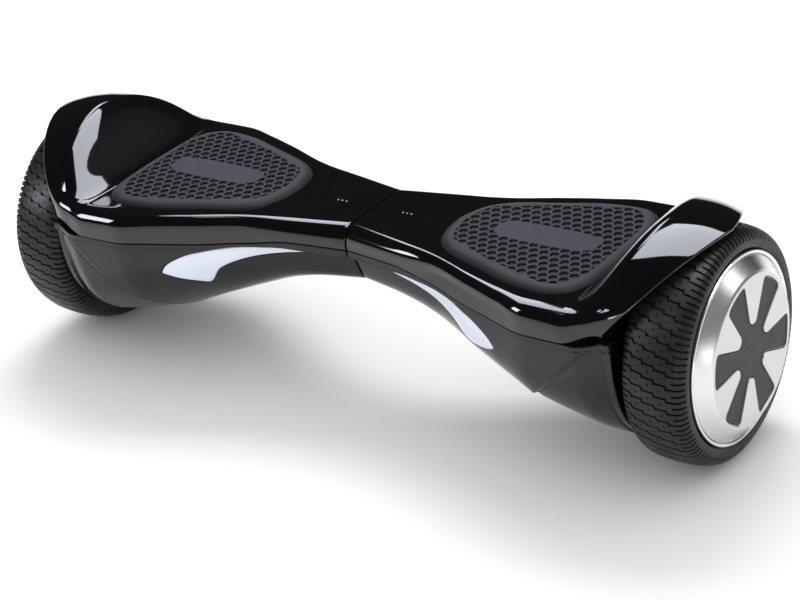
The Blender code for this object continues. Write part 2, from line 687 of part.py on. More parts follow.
# (x, radius) profiles
TYRE_PROFILE = [
    (0.2462, 0.0672), (TYRE_IN, 0.0700), (TYRE_IN, 0.0735), (0.2475, 0.0788),
    (0.2540, 0.0818), (0.2678, WHEEL_R), (0.2816, 0.0818), (0.2881, 0.0788),
    (TYRE_OUT, 0.0735), (TYRE_OUT, 0.0700), (0.2894, 0.0672)]
RIM_PROFILE = [
    (0.2460, 0.0610), (0.2460, RIM_R), (0.2915, RIM_R), (0.2915, 0.0636), (0.2900, 0.0636),
    (0.2900, 0.0610)]
HUB_CAP_PROFILE = [
    (FACE_X, 0), (FACE_X, 0.0540), (0.2917, 0.0633), (0.2903, 0.0633), (0.2903, 0.0600),
    (0.2956, 0.0530), (0.2956, 0.0178), (0.2870, 0.0178), (0.2870, 0.0143),
    (0.2954, 0.0143), (0.2954, 0)]
MOTOR_COVER_PROFILE = [
    (0.2420, 0.0164), (0.2420, 0.0640), (0.2457, 0.0640), (0.2457, 0.0200),
    (0.2530, 0.0200), (0.2530, 0.0164)]


def polar(radius, angle):
    return np.array([radius * np.cos(angle), radius * np.sin(angle)])


def rounded_corner(corner, start, end):
    return [(1 - t) ** 2 * start + 2 * t * (1 - t) * corner + t**2 * end
            for t in np.linspace(0, 1, CORNER_STEPS + 1)]


def petals():
    """Outline of six fan petals round the hub, parted by six round-tipped tongues."""
    points = []
    for k in range(6):
        middle = FIRST_PETAL + k * PETAL_STEP
        tongue = middle - PETAL_STEP / 2
        # straight edge from the first corner, tangent to the tongue before the petal
        corner = polar(PETAL_R, middle - PETAL_HALF)
        tip_centre = polar(TONGUE_AT, tongue)
        reach = corner - tip_centre
        edge_angle = np.arctan2(reach[1], reach[0]) - np.arcsin(TONGUE_R / np.hypot(*reach))
        touch = tip_centre + polar(TONGUE_R, edge_angle + np.pi / 2)
        inward = (touch - corner) / np.linalg.norm(touch - corner)
        points += rounded_corner(corner, corner + inward * CORNER_LENGTH,
                                 polar(PETAL_R, middle - PETAL_HALF + CORNER_ANGLE))
        points.append(polar(PETAL_R, middle))
        # the second corner mirrors the first about the petal's middle line
        corner = polar(PETAL_R, middle + PETAL_HALF)
        normal = polar(1.0, middle + np.pi / 2)
        inward = inward - 2 * normal * (inward @ normal)
        points += rounded_corner(corner, polar(PETAL_R, middle + PETAL_HALF - CORNER_ANGLE),
                                 corner + inward * CORNER_LENGTH)
        # round tip of the tongue after the petal
        lean = (edge_angle - tongue + np.pi) % (2 * np.pi) - np.pi
        tongue = middle + PETAL_STEP / 2
        for share in np.linspace(0.5, -0.5, 2 * CORNER_STEPS + 1):
            angle = tongue + np.pi + share * 2 * (np.pi / 2 - lean)
            points.append(polar(TONGUE_AT, tongue) + polar(TONGUE_R, angle))
    return np.array(points)


def petal_prism(name, growth, start, end, side):
    return prism(name, grow(petals(), growth) + HUB, start, end, side, "x")


def hub_cap(name, side):
    cap = revolve(name, HUB_CAP_PROFILE, 36, side)
    return cut(cap, petal_prism("pocket", 0.0, POCKET_X, FACE_X + 0.002, side))


def wheel(suffix, side):
    """The turning wheel, and the axle, stator and windings that stay with the half."""
    turning = [
        (revolve("tyre_" + suffix, TYRE_PROFILE, 40, side), TYRE),
        (revolve("rotor_rim_" + suffix, RIM_PROFILE, 40, side), POLISH),
        (hub_cap("hub_cap_" + suffix, side), SATIN),
        (petal_prism("hub_insert_" + suffix, -INSERT_GAP, POCKET_X + INSERT_GAP,
                     POCKET_X + 0.0008, side), DARK),
        (revolve("motor_cover_" + suffix, MOTOR_COVER_PROFILE, 28, side), CASTING),
        (tube("magnet_ring_" + suffix, 0.2505, 0.2860, 0.0606, 0.0575, 32, side), STEEL),
        (tube("bearing_outer_" + suffix, 0.2873, 0.2948, 0.0140, 0.0061, 16, side), STEEL),
        (tube("bearing_inner_" + suffix, 0.2440, 0.2520, 0.0160, AXLE_BORE, 16, side), STEEL)]
    fixed = [
        (stepped("axle_" + suffix, 0.1985, [(0.2860, 0.0080), (0.2946, 0.0058)], 16, side),
         STEEL),
        (tube("stator_core_" + suffix, 0.2600, 0.2800, 0.0400, AXLE_BORE, 24, side), STEEL),
        (tube("windings_" + suffix, 0.2565, 0.2835, 0.0560, 0.0403, 24, side), COPPER)]
    for body, pieces in (("_wheel", turning), ("_half", fixed)):
        for obj, look in pieces:
            put(suffix + body, obj, look)


# ------------------------------------------------------------------ the two halves
def half(suffix, side):
    body = suffix + "_half"
    put(body, top_cover("top_cover_" + suffix, side), GLOSS)
    put(body, bottom_cover("bottom_cover_" + suffix, side), LOWER)
    put(suffix + "_mat", foot_mat("foot_mat_" + suffix, side), RUBBER)
    put(body, lamp_lens("lamp_lens_" + suffix, side), LENS)
    put(body, lamp_board("lamp_board_" + suffix, side), BOARD)
    put(body, indicator_pipe("indicator_pipe_" + suffix, side), LENS)
    put(body, gyro_board("gyro_board_" + suffix, side), BOARD)
    put(body, frame_casting("frame_" + suffix, side, PIVOT_BORE[suffix]), CASTING)
    put(body, axle_clamp("axle_clamp_" + suffix, side), CASTING)
    for place, y in zip(("front", "rear"), CLAMP_SCREW_YS):
        put(body, clamp_screw("clamp_screw_%s_%s" % (place, suffix), y, side), STEEL)
    put(body, cover_screw("cover_screw_" + suffix, side), STEEL)
    wheel(suffix, side)


# ------------------------------------------------------------------ centre pivot
PIN_X = 0.030
BUSH_R, BUSH_BORE = 0.0125, 0.0102


def centre_pivot():
    """Hollow shaft held in the left casting, running in bushes in the right one."""
    pin_centre = (PIN_X, 0.0)
    shaft = tube("pivot_shaft", -0.0600, 0.0690, 0.0100, 0.0060, centre=PIVOT)
    cut(shaft, cylinder("pin_hole", PIVOT_Z + 0.002, PIVOT_Z + 0.020, 0.0029, 12,
                        centre=pin_centre, along="z"))
    put("left_half", shaft, STEEL)
    pin = cylinder("limit_pin", PIVOT_Z + 0.0066, PIVOT_Z + 0.0148, 0.0025, 12,
                   centre=pin_centre, along="z")
    put("left_half", pin, STEEL)
    # slot in the right barrel that the pin moves in
    cut(bpy.data.objects["frame_right"],
        box("slot", (PIN_X - 0.0032, -0.0060, PIVOT_Z + 0.004),
            (PIN_X + 0.0032, 0.0060, PIVOT_Z + 0.020)))
    for place, start, end in (("inner", 0.0042, 0.0200), ("outer", 0.0400, 0.0558)):
        bush = tube("pivot_bush_" + place, start, end, BUSH_R, BUSH_BORE, centre=PIVOT)
        put("right_half", bush, BRONZE)
    collar = tube("pivot_collar", 0.0612, 0.0665, 0.0150, BUSH_BORE, centre=PIVOT)
    put("left_half", collar, STEEL)
    harness = cylinder("wire_harness", -0.0850, 0.0850, 0.0045, 12, centre=PIVOT)
    put("left_half", harness, PLASTIC)


# ------------------------------------------------------------------ electronics
# (y, z) section of the battery pack, chamfered below
BATTERY_SECTION = [(-0.040, 0.0887), (-0.040, 0.070), (-0.020, 0.0585),
                   (0.020, 0.0585), (0.040, 0.070), (0.040, 0.0887)]


def main_board():
    board = box("main_board", (0.112, -0.034, 0.0690), (0.193, 0.034, 0.0706))
    for y in (-0.026, -0.012, 0.026):
        join(board, cylinder("can", 0.0700, 0.0840, 0.0050, 12, centre=(0.120, y), along="z"))
    for x in (0.140, 0.158, 0.176):
        join(board, box("block", (x - 0.006, 0.0270, 0.0700), (x + 0.006, 0.0330, 0.0770)))
    return board


def heat_sink():
    start_x, end_x = 0.130, 0.190
    sink = box("heat_sink", (start_x, -0.030, 0.0712), (end_x, 0.024, 0.0742))
    for k in range(6):
        y = -0.0285 + k * 0.0100
        join(sink, box("fin", (start_x, y, 0.0735), (end_x, y + 0.0020, 0.0860)))
    return sink


def electronics():
    battery = prism("battery_pack", BATTERY_SECTION, -0.122, -0.1945, along="x")
    put("left_half", battery, CELL)
    put("right_half", main_board(), BOARD)
    put("right_half", heat_sink(), CASTING)


# ------------------------------------------------------------------ rear controls
CAP_Y = (REAR_Y + 0.0004, REAR_Y + 0.0016)       # faces of the port cap
# (y behind the rear face, radius) of the charge socket, open to the rear
SOCKET_PROFILE = [(-0.0160, 0), (-0.0160, 0.0080), (-0.0002, 0.0080), (-0.0002, 0.0062),
                  (-0.0090, 0.0062), (-0.0090, 0)]


def power_button():
    return stepped("power_button", REAR_Y - 0.0125,
                   [(REAR_Y - 0.0104, 0.0100), (REAR_Y + 0.0014, 0.0080)],
                   20, 1, BUTTON_XZ, "y")


def power_switch():
    return box("power_switch", (BUTTON_X - 0.007, REAR_Y - 0.0230, BUTTON_Z - 0.006),
               (BUTTON_X + 0.007, REAR_Y - 0.0142, BUTTON_Z + 0.006))


def charge_socket():
    profile = [(REAR_Y + y, radius) for y, radius in SOCKET_PROFILE]
    return revolve("charge_socket", profile, 20, -1, BUTTON_XZ, "y")


def port_cap():
    """Disc with a tab below it."""
    cap = cylinder("port_cap", *CAP_Y, 0.0098, 20, -1, BUTTON_XZ, "y")
    return join(cap, box("tab", (BUTTON_X - 0.0035, CAP_Y[0], BUTTON_Z - 0.0125),
                         (BUTTON_X + 0.0035, CAP_Y[1], BUTTON_Z - 0.0080), -1))


# ------------------------------------------------------------------ joints
# Origin of each moving body
JOINTS = {
    "right_half": (0, 0, PIVOT_Z),
    "left_wheel": (-0.268, 0, AXLE_Z),
    "right_wheel": (0.268, 0, AXLE_Z),
    "left_mat": (-0.14, 0, DECK_Z),
    "right_mat": (0.14, 0, DECK_Z),
    "power_button": (BUTTON_X, REAR_Y, BUTTON_Z),
    "port_cap": (-BUTTON_X, REAR_Y + 0.0012, BUTTON_Z - 0.0118),
}


def add_joint(body, origin):
    """Empty at the joint, with the body's pieces parented to it and kept in place."""
    empty = bpy.data.objects.new("axis_" + body, None)
    empty.location = origin
    empty.empty_display_size = 0.02
    bpy.context.scene.collection.objects.link(empty)
    for obj in BODIES[body]:
        obj.parent = empty
        for vertex in obj.data.vertices:
            vertex.co = vertex.co - Vector(origin)


half("left", -1)
half("right", 1)
centre_pivot()
electronics()
put("power_button", power_button(), PLASTIC)
put("right_half", power_switch(), PLASTIC)
put("left_half", charge_socket(), STEEL)
put("port_cap", port_cap(), RUBBER)
for joint_body, joint_origin in JOINTS.items():
    add_joint(joint_body, joint_origin)
bpy.context.view_layer.update()
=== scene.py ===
# Looks of a self balancing hoverboard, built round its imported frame.
# Metres, +Z up.  The wheels turn about the X axis at height AXLE_Z, -Y is the front (lamp)
# side and +X is the right.  The right half is modelled and mirrored in x = 0.
import json
import math
from contextlib import contextmanager

import bmesh
import bpy
import numpy as np
from mathutils import Matrix, Vector


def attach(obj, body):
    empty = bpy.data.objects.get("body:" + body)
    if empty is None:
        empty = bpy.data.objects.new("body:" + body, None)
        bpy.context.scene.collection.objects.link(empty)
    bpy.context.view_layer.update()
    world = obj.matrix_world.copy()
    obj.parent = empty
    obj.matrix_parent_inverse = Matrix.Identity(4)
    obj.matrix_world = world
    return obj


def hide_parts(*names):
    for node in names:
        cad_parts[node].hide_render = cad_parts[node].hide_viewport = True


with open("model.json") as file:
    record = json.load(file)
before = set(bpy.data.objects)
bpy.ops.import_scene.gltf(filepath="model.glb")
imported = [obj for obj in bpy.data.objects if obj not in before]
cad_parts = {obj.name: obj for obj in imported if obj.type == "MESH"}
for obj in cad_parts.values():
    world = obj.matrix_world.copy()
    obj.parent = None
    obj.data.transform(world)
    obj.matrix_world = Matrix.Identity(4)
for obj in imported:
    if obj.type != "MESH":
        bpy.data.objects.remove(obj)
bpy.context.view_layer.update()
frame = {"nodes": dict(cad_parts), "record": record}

# ------------------------------------------------------------------ driving dimensions
WHEEL_R = AXLE_Z = 0.0825
HALF_GAP = 0.0008            # from x = 0 to the inner end of each half
WALL = 0.0026                # cover thickness
DECK_Z = 0.1350
X_ROOT = 0.207               # the deck ends and the fender begins
X_LIP = 0.291                # fender lip over the top of the wheel
X_SIDE = 0.236               # fender lip at its front and rear ends
BUTTON_XZ = (0.198, 0.093)   # power button, and the charge port on the left half
REAR_Y = 0.0878              # face of the round boss at the back
WINDOWS_X = (0.0250, 0.0286, 0.0322)


# ------------------------------------------------------------------ curves and outlines
def curve(x, table):
    """Smooth monotone curve through (x, value) stations."""
    xs, ys = np.array(table, float).T
    step = np.diff(xs)
    slope = np.diff(ys) / step
    tangent = np.zeros(len(xs))
    tangent[0], tangent[-1] = slope[0], slope[-1]
    for i in range(1, len(xs) - 1):
        if slope[i - 1] * slope[i] > 0:
            w1, w2 = 2 * step[i] + step[i - 1], step[i] + 2 * step[i - 1]
            tangent[i] = (w1 + w2) / (w1 / slope[i - 1] + w2 / slope[i])
    x = np.clip(np.asarray(x, float), xs[0], xs[-1])
    k = np.clip(np.searchsorted(xs, x) - 1, 0, len(step) - 1)
    u = (x - xs[k]) / step[k]
    return ((2 * u**3 - 3 * u**2 + 1) * ys[k]
            + (u**3 - 2 * u**2 + u) * step[k] * tangent[k]
            + (3 * u**2 - 2 * u**3) * ys[k + 1]
            + (u**3 - u**2) * step[k] * tangent[k + 1])


def stations(*table):
    """The curve through a table of (x, value) stations, as a function of x."""
    return lambda x: curve(x, table)


def smooth(u):
    u = np.clip(u, 0, 1)
    return u * u * (3 - 2 * u)


def unit(vectors):
    return vectors / np.linalg.norm(vectors, axis=-1, keepdims=True)


def quarter(k, steps):
    """Angle at step k of a quarter turn."""
    return np.pi / 2 * k / steps


def resample(points, count):
    """Points evenly spaced along an open polyline."""
    points = np.asarray(points, float)
    length = np.r_[0, np.cumsum(np.linalg.norm(np.diff(points, axis=0), axis=1))]
    at = np.linspace(0, length[-1], count)
    return np.stack([np.interp(at, length, column) for column in points.T], 1)


def bend(start, corner, end, t):
    """Point t along the quadratic curve that rounds a corner."""
    return (1 - t) ** 2 * start + 2 * t * (1 - t) * corner + t**2 * end


def fillet(profile, steps=4):
    """Closed profile of (axial, radius, corner radius) with its corners rounded."""
    table = np.array(profile, float)
    p, radii = table[:, :2], table[:, 2]
    out = []
    for i, radius in enumerate(radii):
        if radius <= 0:
            out.append(tuple(p[i]))
            continue
        back, ahead = p[i - 1] - p[i], p[(i + 1) % len(p)] - p[i]
        len_back, len_ahead = np.linalg.norm(back), np.linalg.norm(ahead)
        back, ahead = back / len_back, ahead / len_ahead
        half = np.arccos(np.clip(back @ ahead, -1, 1)) / 2
        trim = min(radius / np.tan(half), 0.49 * len_back, 0.49 * len_ahead)
        for t in np.linspace(0, 1, steps + 1):
            out.append(tuple(bend(p[i] + back * trim, p[i], p[i] + ahead * trim, t)))
    return out


def solid(*points):
    """Profile of a solid turned part: both end points are closed to the axis."""
    return [(points[0][0], 0), *points, (points[-1][0], 0)]


def closed_spline(points, count):
    """Closed Catmull-Rom curve with count points to each span."""
    p = np.array(points, float)
    out = []
    for i in range(len(p)):
        a, b, c, d = p[i - 1], p[i], p[(i + 1) % len(p)], p[(i + 2) % len(p)]
        for k in range(count):
            t = k / count
            out.append(0.5 * (2 * b + (c - a) * t + (2 * a - 5 * b + 4 * c - d) * t**2
                              + (3 * b - a - 3 * c + d) * t**3))
    return np.array(out)


def signed_area(outline):
    x, y = np.array(outline).T
    return 0.5 * np.sum(x * np.roll(y, -1) - np.roll(x, -1) * y)


def grow(outline, distance):
    """Closed outline moved outwards."""
    p = np.array(outline)
    along = np.roll(p, -1, 0) - np.roll(p, 1, 0)
    normal = unit(np.stack([along[:, 1], -along[:, 0]], 1))
    return p + normal * distance * np.sign(signed_area(p))


def rectangle(a0, a1, b0, b1):
    return [(a0, b0), (a1, b0), (a1, b1), (a0, b1)]


def at_x(x, outline):
    """(y, z) outline placed at x."""
    return np.insert(np.asarray(outline, float), 0, x, axis=1)


def at_y(y, outline):
    """(x, z) outline placed at y."""
    return [(x, y, z) for x, z in outline]


def at_z(z, outline):
    """(x, y) outline placed at height z."""
    return [(x, y, z) for x, y in outline]


def round_axle(x, radius, angle):
    """Point at a radius from the axle, the angle measured from straight up towards +Y."""
    return x, radius * np.sin(angle), AXLE_Z + radius * np.cos(angle)


# ------------------------------------------------------------------ mesh tools
@contextmanager
def editing(mesh):
    bm = bmesh.new()
    bm.from_mesh(mesh)
    yield bm
    bm.to_mesh(mesh)
    bm.free()


def add_object(name, data):
    obj = bpy.data.objects.new(name, data)
    bpy.context.scene.collection.objects.link(obj)
    return obj


def make(name, verts, faces, merge=2e-6):
    """Object from points and faces, merged, with its normals outwards."""
    mesh = bpy.data.meshes.new(name)
    mesh.from_pydata(np.asarray(verts, float).tolist(), [], [list(f) for f in faces])
    with editing(mesh) as bm:
        bmesh.ops.remove_doubles(bm, verts=bm.verts, dist=merge)
        bmesh.ops.recalc_face_normals(bm, faces=bm.faces)
        if bm.calc_volume(signed=True) < 0:
            bmesh.ops.reverse_faces(bm, faces=bm.faces)
    return add_object(name, mesh)


def combine(obj, other, operation):
    """Exact boolean applied to obj; the other object is used up."""
    modifier = obj.modifiers.new("b", "BOOLEAN")
    modifier.operation = operation
    modifier.solver = "EXACT"
    modifier.object = other
    bpy.context.view_layer.update()
    depsgraph = bpy.context.evaluated_depsgraph_get()
    mesh = bpy.data.meshes.new_from_object(obj.evaluated_get(depsgraph))
    obj.modifiers.clear()
    old = obj.data
    obj.data = mesh
    bpy.data.meshes.remove(old)
    bpy.data.objects.remove(other)
    with editing(mesh) as bm:
        bmesh.ops.remove_doubles(bm, verts=bm.verts, dist=2e-6)
        bmesh.ops.dissolve_degenerate(bm, edges=bm.edges, dist=2e-6)


def cut(obj, other):
    combine(obj, other, "DIFFERENCE")


def join(obj, other):
    combine(obj, other, "UNION")


def gather(name, objs):
    """Several separate solids as one mesh object."""
    verts, faces = [], []
    for obj in objs:
        base = len(verts)
        verts += [tuple(v.co) for v in obj.data.vertices]
        faces += [tuple(base + i for i in p.vertices) for p in obj.data.polygons]
        bpy.data.objects.remove(obj)
    return make(name, verts, faces)


def bands(rows, count):
    """Faces between consecutive closed rings of count points."""
    faces = []
    for i in range(rows - 1):
        for j in range(count):
            k = (j + 1) % count
            faces.append((i * count + j, i * count + k,
                          (i + 1) * count + k, (i + 1) * count + j))
    return faces


def loft(name, loops):
    """Solid through closed loops, capped at both ends."""
    rows, count = len(loops), len(loops[0])
    caps = [tuple(range(count)), tuple((rows - 1) * count + j for j in range(count))]
    return make(name, [p for loop in loops for p in loop], bands(rows, count) + caps)


def revolve(name, profile, segments, centre=(0.0, AXLE_Z), along="x"):
    """Turn a closed (axial, radius) profile about an axis through centre."""
    angles = np.arange(segments) * 2 * np.pi / segments
    verts, index = [], []
    for axial, radius in profile:
        if radius < 1e-7:
            index.append([len(verts)] * segments)
            verts.append((axial, 0.0, 0.0))
        else:
            index.append([len(verts) + k for k in range(segments)])
            verts += [(axial, radius * np.cos(a), radius * np.sin(a)) for a in angles]
    faces = []
    for i, ring in enumerate(index):
        after = index[(i + 1) % len(index)]
        if ring[0] == ring[1] and after[0] == after[1]:
            continue
        for k in range(segments):
            l = (k + 1) % segments
            # points on the axis coincide and are kept once
            faces.append(tuple(dict.fromkeys((ring[k], ring[l], after[l], after[k]))))
    axial, first, second = np.array(verts).T
    first, second = first + centre[0], second + centre[1]
    columns = {"x": (axial, first, second), "y": (first, axial, second),
               "z": (first, second, axial)}[along]
    return make(name, np.stack(columns, 1), faces, merge=1e-7)


def rounded_edge(outer, neighbour, inner, radius, steps):
    """Rounded edge of a thick sheet: trimmed outer points, the round, trimmed inner points."""
    outwards = unit(outer - neighbour)
    across = inner - outer
    width = np.linalg.norm(across, axis=-1, keepdims=True)
    across = across / width
    radius = np.minimum(radius, width * 0.45)
    first = outer - outwards * radius
    last = inner - outwards * radius
    points = []
    for k in range(1, steps + 1):
        t = quarter(k, steps)
        points.append(first + across * radius
                      + radius * (-across * np.cos(t) + outwards * np.sin(t)))
    for k in range(steps):
        t = quarter(k, steps)
        points.append(last - across * radius
                      + radius * (outwards * np.cos(t) + across * np.sin(t)))
    return first, points, last


def shell(name, outer, inner, edge_r=0.0005, steps=3, round_end=True, start_r=0.0004):
    """Closed thick sheet between two grids (rows along x, columns round the section)."""
    outer, inner = np.array(outer, float), np.array(inner, float)
    outer_a, edge_a, inner_a = rounded_edge(outer[:, 0], outer[:, 1], inner[:, 0], edge_r, steps)
    outer_b, edge_b, inner_b = rounded_edge(outer[:, -1], outer[:, -2], inner[:, -1],
                                            edge_r, steps)
    outer[:, 0], inner[:, 0] = outer_a, inner_a
    outer[:, -1], inner[:, -1] = outer_b, inner_b
    edge_a = edge_a[::-1]
    rings = []

    def add_ring(row, outer_row):
        rings.append([*outer_row, *[p[row] for p in edge_b], *inner[row][::-1],
                      *[p[row] for p in edge_a]])

    if start_r:
        # small radius on the outer corner of the first row
        outwards = unit(outer[0] - outer[1])
        across = unit(inner[0] - outer[0])
        centre = outer[0] - outwards * start_r + across * start_r
        for k in range(steps, 0, -1):
            t = quarter(k, steps)
            add_ring(0, centre + start_r * (-across * np.cos(t) + outwards * np.sin(t)))
        outer[0] = outer[0] - outwards * start_r
    for i in range(len(outer)):
        add_ring(i, outer[i])
    if round_end:
        outwards = unit(outer[-1] - outer[-2])
        middle = (outer[-1] + inner[-1]) / 2
        half = (outer[-1] - inner[-1]) / 2
        reach = np.linalg.norm(half, axis=1)[:, None]

        def side(edge, i, t):
            return [middle[i] + (p[-1] - middle[i]) * np.cos(t)
                    + outwards[i] * reach[i] * np.sin(t) for p in edge]

        for k in range(1, 6):
            t = quarter(k, 5)
            outer_row = middle + half * np.cos(t) + outwards * reach * np.sin(t)
            inner_row = middle - half * np.cos(t) + outwards * reach * np.sin(t)
            rings.append([*outer_row, *side(edge_b, -1, t), *inner_row[::-1],
                          *side(edge_a, 0, t)])
    count, columns = len(rings[0]), outer.shape[1]
    first_inner = columns + 2 * steps
    last_inner = first_inner + columns - 1

    def cap(base):
        # strip between the outer and the inner run, then the two small ends
        out = [(base + j, base + j + 1, base + last_inner - j - 1, base + last_inner - j)
               for j in range(columns - 1)]
        out.append(tuple(base + k for k in range(columns - 1, first_inner + 1)))
        out.append((base, *[base + k for k in range(count - 1, last_inner - 1, -1)]))
        return out

    faces = bands(len(rings), count) + cap(0)
    if not round_end:
        faces += cap((len(rings) - 1) * count)
    return make(name, np.array(rings).reshape(-1, 3), faces)


def shade(obj, degrees):
    """Smooth shading, with edges sharper than the angle kept hard."""
    limit = math.radians(degrees)
    with editing(obj.data) as bm:
        for face in bm.faces:
            face.smooth = True
        for edge in bm.edges:
            edge.smooth = bool(len(edge.link_faces) == 2 and edge.calc_face_angle(0.0) < limit)


def mirrored(obj, name):
    """A copy mirrored in the plane x = 0."""
    mesh = obj.data.copy()
    mesh.transform(Matrix.Scale(-1, 4, (1, 0, 0)))
    mesh.flip_normals()
    return add_object(name, mesh)


# ------------------------------------------------------------------ shader tools
def node(tree, kind, inputs=None, **settings):
    """New node; an input given as a socket is linked, any other value is set."""
    made = tree.nodes.new(kind)
    for key, value in settings.items():
        setattr(made, key, value)
    for key, value in (inputs or {}).items():
        if isinstance(value, bpy.types.NodeSocket):
            tree.links.new(value, made.inputs[key])
        else:
            made.inputs[key].default_value = value
    return made


def noise(tree, vector, scale, detail, roughness=0.5):
    return node(tree, "ShaderNodeTexNoise", {"Vector": vector, "Scale": scale, "Detail": detail,
                                             "Roughness": roughness}).outputs["Fac"]


def map_range(tree, value, source=(0.0, 1.0), target=(0.0, 1.0)):
    return node(tree, "ShaderNodeMapRange", {
        "Value": value, "From Min": source[0], "From Max": source[1],
        "To Min": target[0], "To Max": target[1]}).outputs["Result"]


def mix_colour(tree, factor, first, second, **settings):
    return node(tree, "ShaderNodeMix", {"Factor": factor, "A": first, "B": second},
                data_type="RGBA", **settings).outputs["Result"]


def bump(tree, height, normal, strength, distance):
    inputs = {"Height": height, "Strength": strength, "Distance": distance}
    if normal:
        inputs["Normal"] = normal
    return node(tree, "ShaderNodeBump", inputs).outputs[0]


def colour_output(tree, place, base, colour_noise, painted_depth_shade, dust):
    amount, scale = colour_noise
    low = [c * (1 - amount) for c in base]
    high = [min(1.0, c * (1 + amount)) for c in base]
    colour = mix_colour(tree, noise(tree, place, scale, detail=6.0, roughness=0.6),
                        (*low, 1), (*high, 1))
    # painted shade: the colour is darkened lower down, towards the floors of hollows such as the
    # mat's pits
    if painted_depth_shade:
        z_dark, z_full, factor = painted_depth_shade
        split = node(tree, "ShaderNodeSeparateXYZ", {0: place})
        shadow = map_range(tree, split.outputs[2], (z_dark, z_full), (factor, 1.0))
        colour = mix_colour(tree, 1.0, colour, shadow, blend_type="MULTIPLY")
    if dust:
        # pale dust gathers in fine patches
        patches = map_range(tree, noise(tree, place, scale=18.0, detail=10.0, roughness=0.75),
                            source=(0.50, 0.80), target=(0.0, dust))
        colour = mix_colour(tree, patches, colour, (0.20, 0.17, 0.14, 1))
    return colour


def roughness_output(tree, place, rough, rough_noise, scratch):
    amount, scale = rough_noise
    out = map_range(tree, noise(tree, place, scale, detail=5.0, roughness=0.65),
                    source=(0.3, 0.7),
                    target=(max(0.0, rough - amount), min(1.0, rough + amount)))
    if scratch:
        # faint hairlines: strongly stretched noise raises the roughness a little
        stretched = node(tree, "ShaderNodeMapping", {
            "Vector": place, "Scale": (900.0, 35.0, 35.0), "Rotation": (0.3, 0.5, 0.7)})
        lines = map_range(tree, noise(tree, stretched.outputs["Vector"], scale=1.0, detail=3.0),
                          source=(0.62, 0.80), target=(0.0, scratch))
        out = node(tree, "ShaderNodeMath", {0: out, 1: lines}, operation="ADD").outputs[0]
    return out


def normal_output(tree, place, bevel, rings, bumps):
    normal = None
    if bevel:
        normal = node(tree, "ShaderNodeBevel", {"Radius": bevel}, samples=4).outputs[0]
    if rings:
        period, strength, distance = rings
        centred = node(tree, "ShaderNodeMapping", {"Vector": place,
                                                   "Location": (0.0, 0.0, -AXLE_Z)})
        wave = node(tree, "ShaderNodeTexWave", {
            "Vector": centred.outputs["Vector"], "Scale": 2 * math.pi / (20 * period),
            "Distortion": 1.5, "Detail": 2.0, "Detail Scale": 0.2},
            wave_type="RINGS", rings_direction="X")
        normal = bump(tree, wave.outputs["Fac"], normal, strength, distance)
    for kind, scale, strength, distance in bumps:
        if kind == "voronoi":
            height = node(tree, "ShaderNodeTexVoronoi",
                          {"Vector": place, "Scale": scale}).outputs["Distance"]
        else:
            height = noise(tree, place, scale, detail=4.0, roughness=0.6)
        normal = bump(tree, height, normal, strength, distance)
    return normal


LOOK = {}  # material by slot name


def look(slot, base, rough, colour_noise, rough_noise, metal=0.0, bumps=(), bevel=0.0, rings=None,
         aniso=0.0, spec=0.5, glow=0.0, dust=0.0, scratch=0.0, painted_depth_shade=None, extra=None):
    """Procedural material of one slot.

    colour_noise, rough_noise: (amount, scale) of the variation
    bumps: (texture, scale, strength, distance) layers
    rings: (period, strength, distance) of grooves turned round the axle
    painted_depth_shade: painted shade that darkens the colour lower down, as (z of the darkest
    level, z of full colour, colour factor at the darkest)
    extra: further inputs of the principled shader
    """
    material = bpy.data.materials.new("look_" + slot)
    material.use_nodes = True
    tree = material.node_tree
    inputs = tree.nodes["Principled BSDF"].inputs
    place = node(tree, "ShaderNodeTexCoord").outputs["Object"]
    colour = colour_output(tree, place, base, colour_noise, painted_depth_shade, dust)
    tree.links.new(colour, inputs["Base Color"])
    roughness = roughness_output(tree, place, rough, rough_noise, scratch)
    tree.links.new(roughness, inputs["Roughness"])
    values = {"Metallic": metal, "Specular IOR Level": spec, **(extra or {})}
    for key, value in values.items():
        inputs[key].default_value = value
    if glow:
        tree.links.new(colour, inputs["Emission Color"])
        inputs["Emission Strength"].default_value = glow
    if aniso:
        inputs["Anisotropic"].default_value = aniso
        tangent = node(tree, "ShaderNodeTangent", direction_type="RADIAL", axis="X")
        tree.links.new(tangent.outputs[0], inputs["Tangent"])
    normal = normal_output(tree, place, bevel, rings, bumps)
    tree.links.new(normal, inputs["Normal"])
    LOOK[slot] = material


# ------------------------------------------------------------------ materials
look("cover_top", base=(0.0035, 0.0035, 0.004), rough=0.055, colour_noise=(0.3, 12),
     rough_noise=(0.02, 25), bumps=[("noise", 45.0, 0.035, 0.0006)], bevel=0.0005, scratch=0.05,
     extra={"Coat Weight": 0.5, "Coat Roughness": 0.03})
look("cover_bottom", base=(0.006, 0.006, 0.0065), rough=0.16, colour_noise=(0.3, 15),
     rough_noise=(0.03, 40), bevel=0.0005, scratch=0.06,
     bumps=[("noise", 70.0, 0.05, 0.0006), ("noise", 1400.0, 0.03, 0.0001)])
